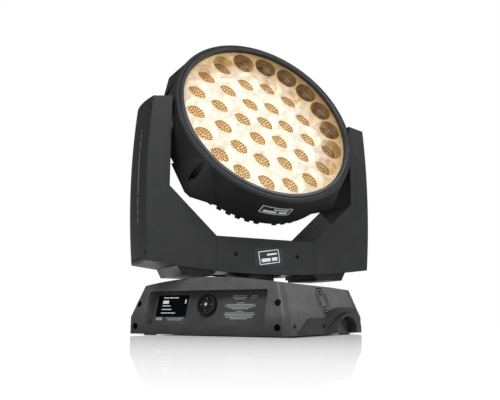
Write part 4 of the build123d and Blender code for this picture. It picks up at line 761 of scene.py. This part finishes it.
def floor():
    """White sweep with a fading mirror sheen, and a painted shadow as a dark line round the base."""
    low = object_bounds()[0][2] - FLOOR_GAP
    mesh = bpy.data.meshes.new("floor")
    corners = [(x * FLOOR_HALF, y * FLOOR_HALF, low) for x, y in ((-1, -1), (1, -1), (1, 1), (-1, 1))]
    mesh.from_pydata(corners, [], [(0, 1, 2, 3)])
    obj = bpy.data.objects.new("floor", mesh)
    bpy.context.scene.collection.objects.link(obj)
    obj.visible_diffuse = False
    obj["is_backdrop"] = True
    mat, tree, shader = new_material("floor_white")
    shader.inputs["Base Color"].default_value = (0.03, 0.03, 0.03, 1)
    shader.inputs["Roughness"].default_value = 0.9
    shader.inputs["Specular IOR Level"].default_value = 0.0
    shader.inputs["Emission Color"].default_value = (1, 1, 1, 1)
    sheen = add_node(tree, "ShaderNodeBsdfAnisotropic", Roughness=0.0, Color=(1, 1, 1, 1))
    coords = add_node(tree, "ShaderNodeTexCoord")
    split = add_node(tree, "ShaderNodeSeparateXYZ")
    tree.links.new(coords.outputs["Object"], split.inputs["Vector"])
    base_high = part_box("base_casing")[1]
    past_x = math_node(tree, "SUBTRACT", math_node(tree, "ABSOLUTE", split.outputs["X"]), base_high[0])
    past_y = math_node(tree, "SUBTRACT", math_node(tree, "ABSOLUTE", split.outputs["Y"]), base_high[1])
    # Painted shadow: the floor's glow drops to almost nothing just round the base's footprint.
    contact_shadow = add_node(tree, "ShaderNodeMapRange")
    contact_shadow.inputs["From Min"].default_value = -0.004
    contact_shadow.inputs["From Max"].default_value = 0.012
    contact_shadow.inputs["To Min"].default_value = 0.02
    contact_shadow.inputs["To Max"].default_value = FLOOR_GLOW
    tree.links.new(math_node(tree, "MAXIMUM", past_x, past_y), contact_shadow.inputs["Value"])
    tree.links.new(contact_shadow.outputs["Result"], shader.inputs["Emission Strength"])
    reach = add_node(tree, "ShaderNodeVectorMath", operation="LENGTH")
    tree.links.new(coords.outputs["Object"], reach.inputs[0])
    fade = add_node(tree, "ShaderNodeMapRange")
    fade.inputs["From Min"].default_value, fade.inputs["To Min"].default_value = SHEEN_NEAR
    fade.inputs["From Max"].default_value, fade.inputs["To Max"].default_value = SHEEN_FAR
    tree.links.new(reach.outputs["Value"], fade.inputs["Value"])
    mix = add_node(tree, "ShaderNodeMixShader")
    tree.links.new(fade.outputs["Result"], mix.inputs[0])
    tree.links.new(shader.outputs[0], mix.inputs[1])
    tree.links.new(sheen.outputs[0], mix.inputs[2])
    tree.links.new(mix.outputs[0], tree.nodes["Material Output"].inputs["Surface"])
    obj.data.materials.append(mat)


def soft_light(name, spot, target, size, power):
    """Rectangular soft lamp at spot, aimed at target."""
    data = bpy.data.lights.new(name, "AREA")
    data.shape = "RECTANGLE"
    data.size, data.size_y = size
    data.energy = power
    obj = bpy.data.objects.new(name, data)
    bpy.context.scene.collection.objects.link(obj)
    obj.location = spot
    obj.rotation_euler = (Vector(target) - Vector(spot)).to_track_quat("-Z", "Y").to_euler()


def world():
    """White to the camera and in the floor's mirror, with dimmer even light on the object."""
    studio = bpy.data.worlds.new("studio")
    bpy.context.scene.world = studio
    studio.use_nodes = True
    tree = studio.node_tree
    back = tree.nodes["Background"]
    back.inputs["Color"].default_value = (1, 1, 1, 1)
    path = add_node(tree, "ShaderNodeLightPath")
    seen = math_node(tree, "MAXIMUM", path.outputs["Is Camera Ray"], path.outputs["Is Singular Ray"])
    level = add_node(tree, "ShaderNodeMapRange")
    level.inputs["To Min"].default_value = AMBIENT
    level.inputs["To Max"].default_value = 1.0
    tree.links.new(seen, level.inputs["Value"])
    tree.links.new(level.outputs["Result"], back.inputs["Strength"])


def camera():
    """Camera low in front and to the right, looking slightly up."""
    data = bpy.data.cameras.new("camera")
    data.sensor_width = 36.0
    data.lens = CAMERA_LENS
    obj = bpy.data.objects.new("camera", data)
    bpy.context.scene.collection.objects.link(obj)
    heading = Matrix.Rotation(YAW, 4, "Z") @ Matrix.Rotation(math.pi / 2 + PITCH, 4, "X")
    obj.matrix_world = Matrix.Translation(CAMERA_SPOT) @ heading @ Matrix.Rotation(ROLL, 4, "Z")
    bpy.context.scene.camera = obj


floor()
world()
soft_light("key", (1.5, -0.2, 1.5), (0, 0, 0.05), (0.7, 0.7), 17)
soft_light("front", (0.1, -1.1, 0.9), (0, -0.1, 0.2), (0.5, 0.5), 4)
soft_light("fill", (0.95, -1.7, 0.25), (0, 0, 0.0), (0.7, 0.5), 3.5)
soft_light("back", (-0.7, 1.9, 1.0), (0, 0, 0.2), (0.7, 0.7), 6)
camera()
bpy.context.scene.view_settings.view_transform = "Standard"
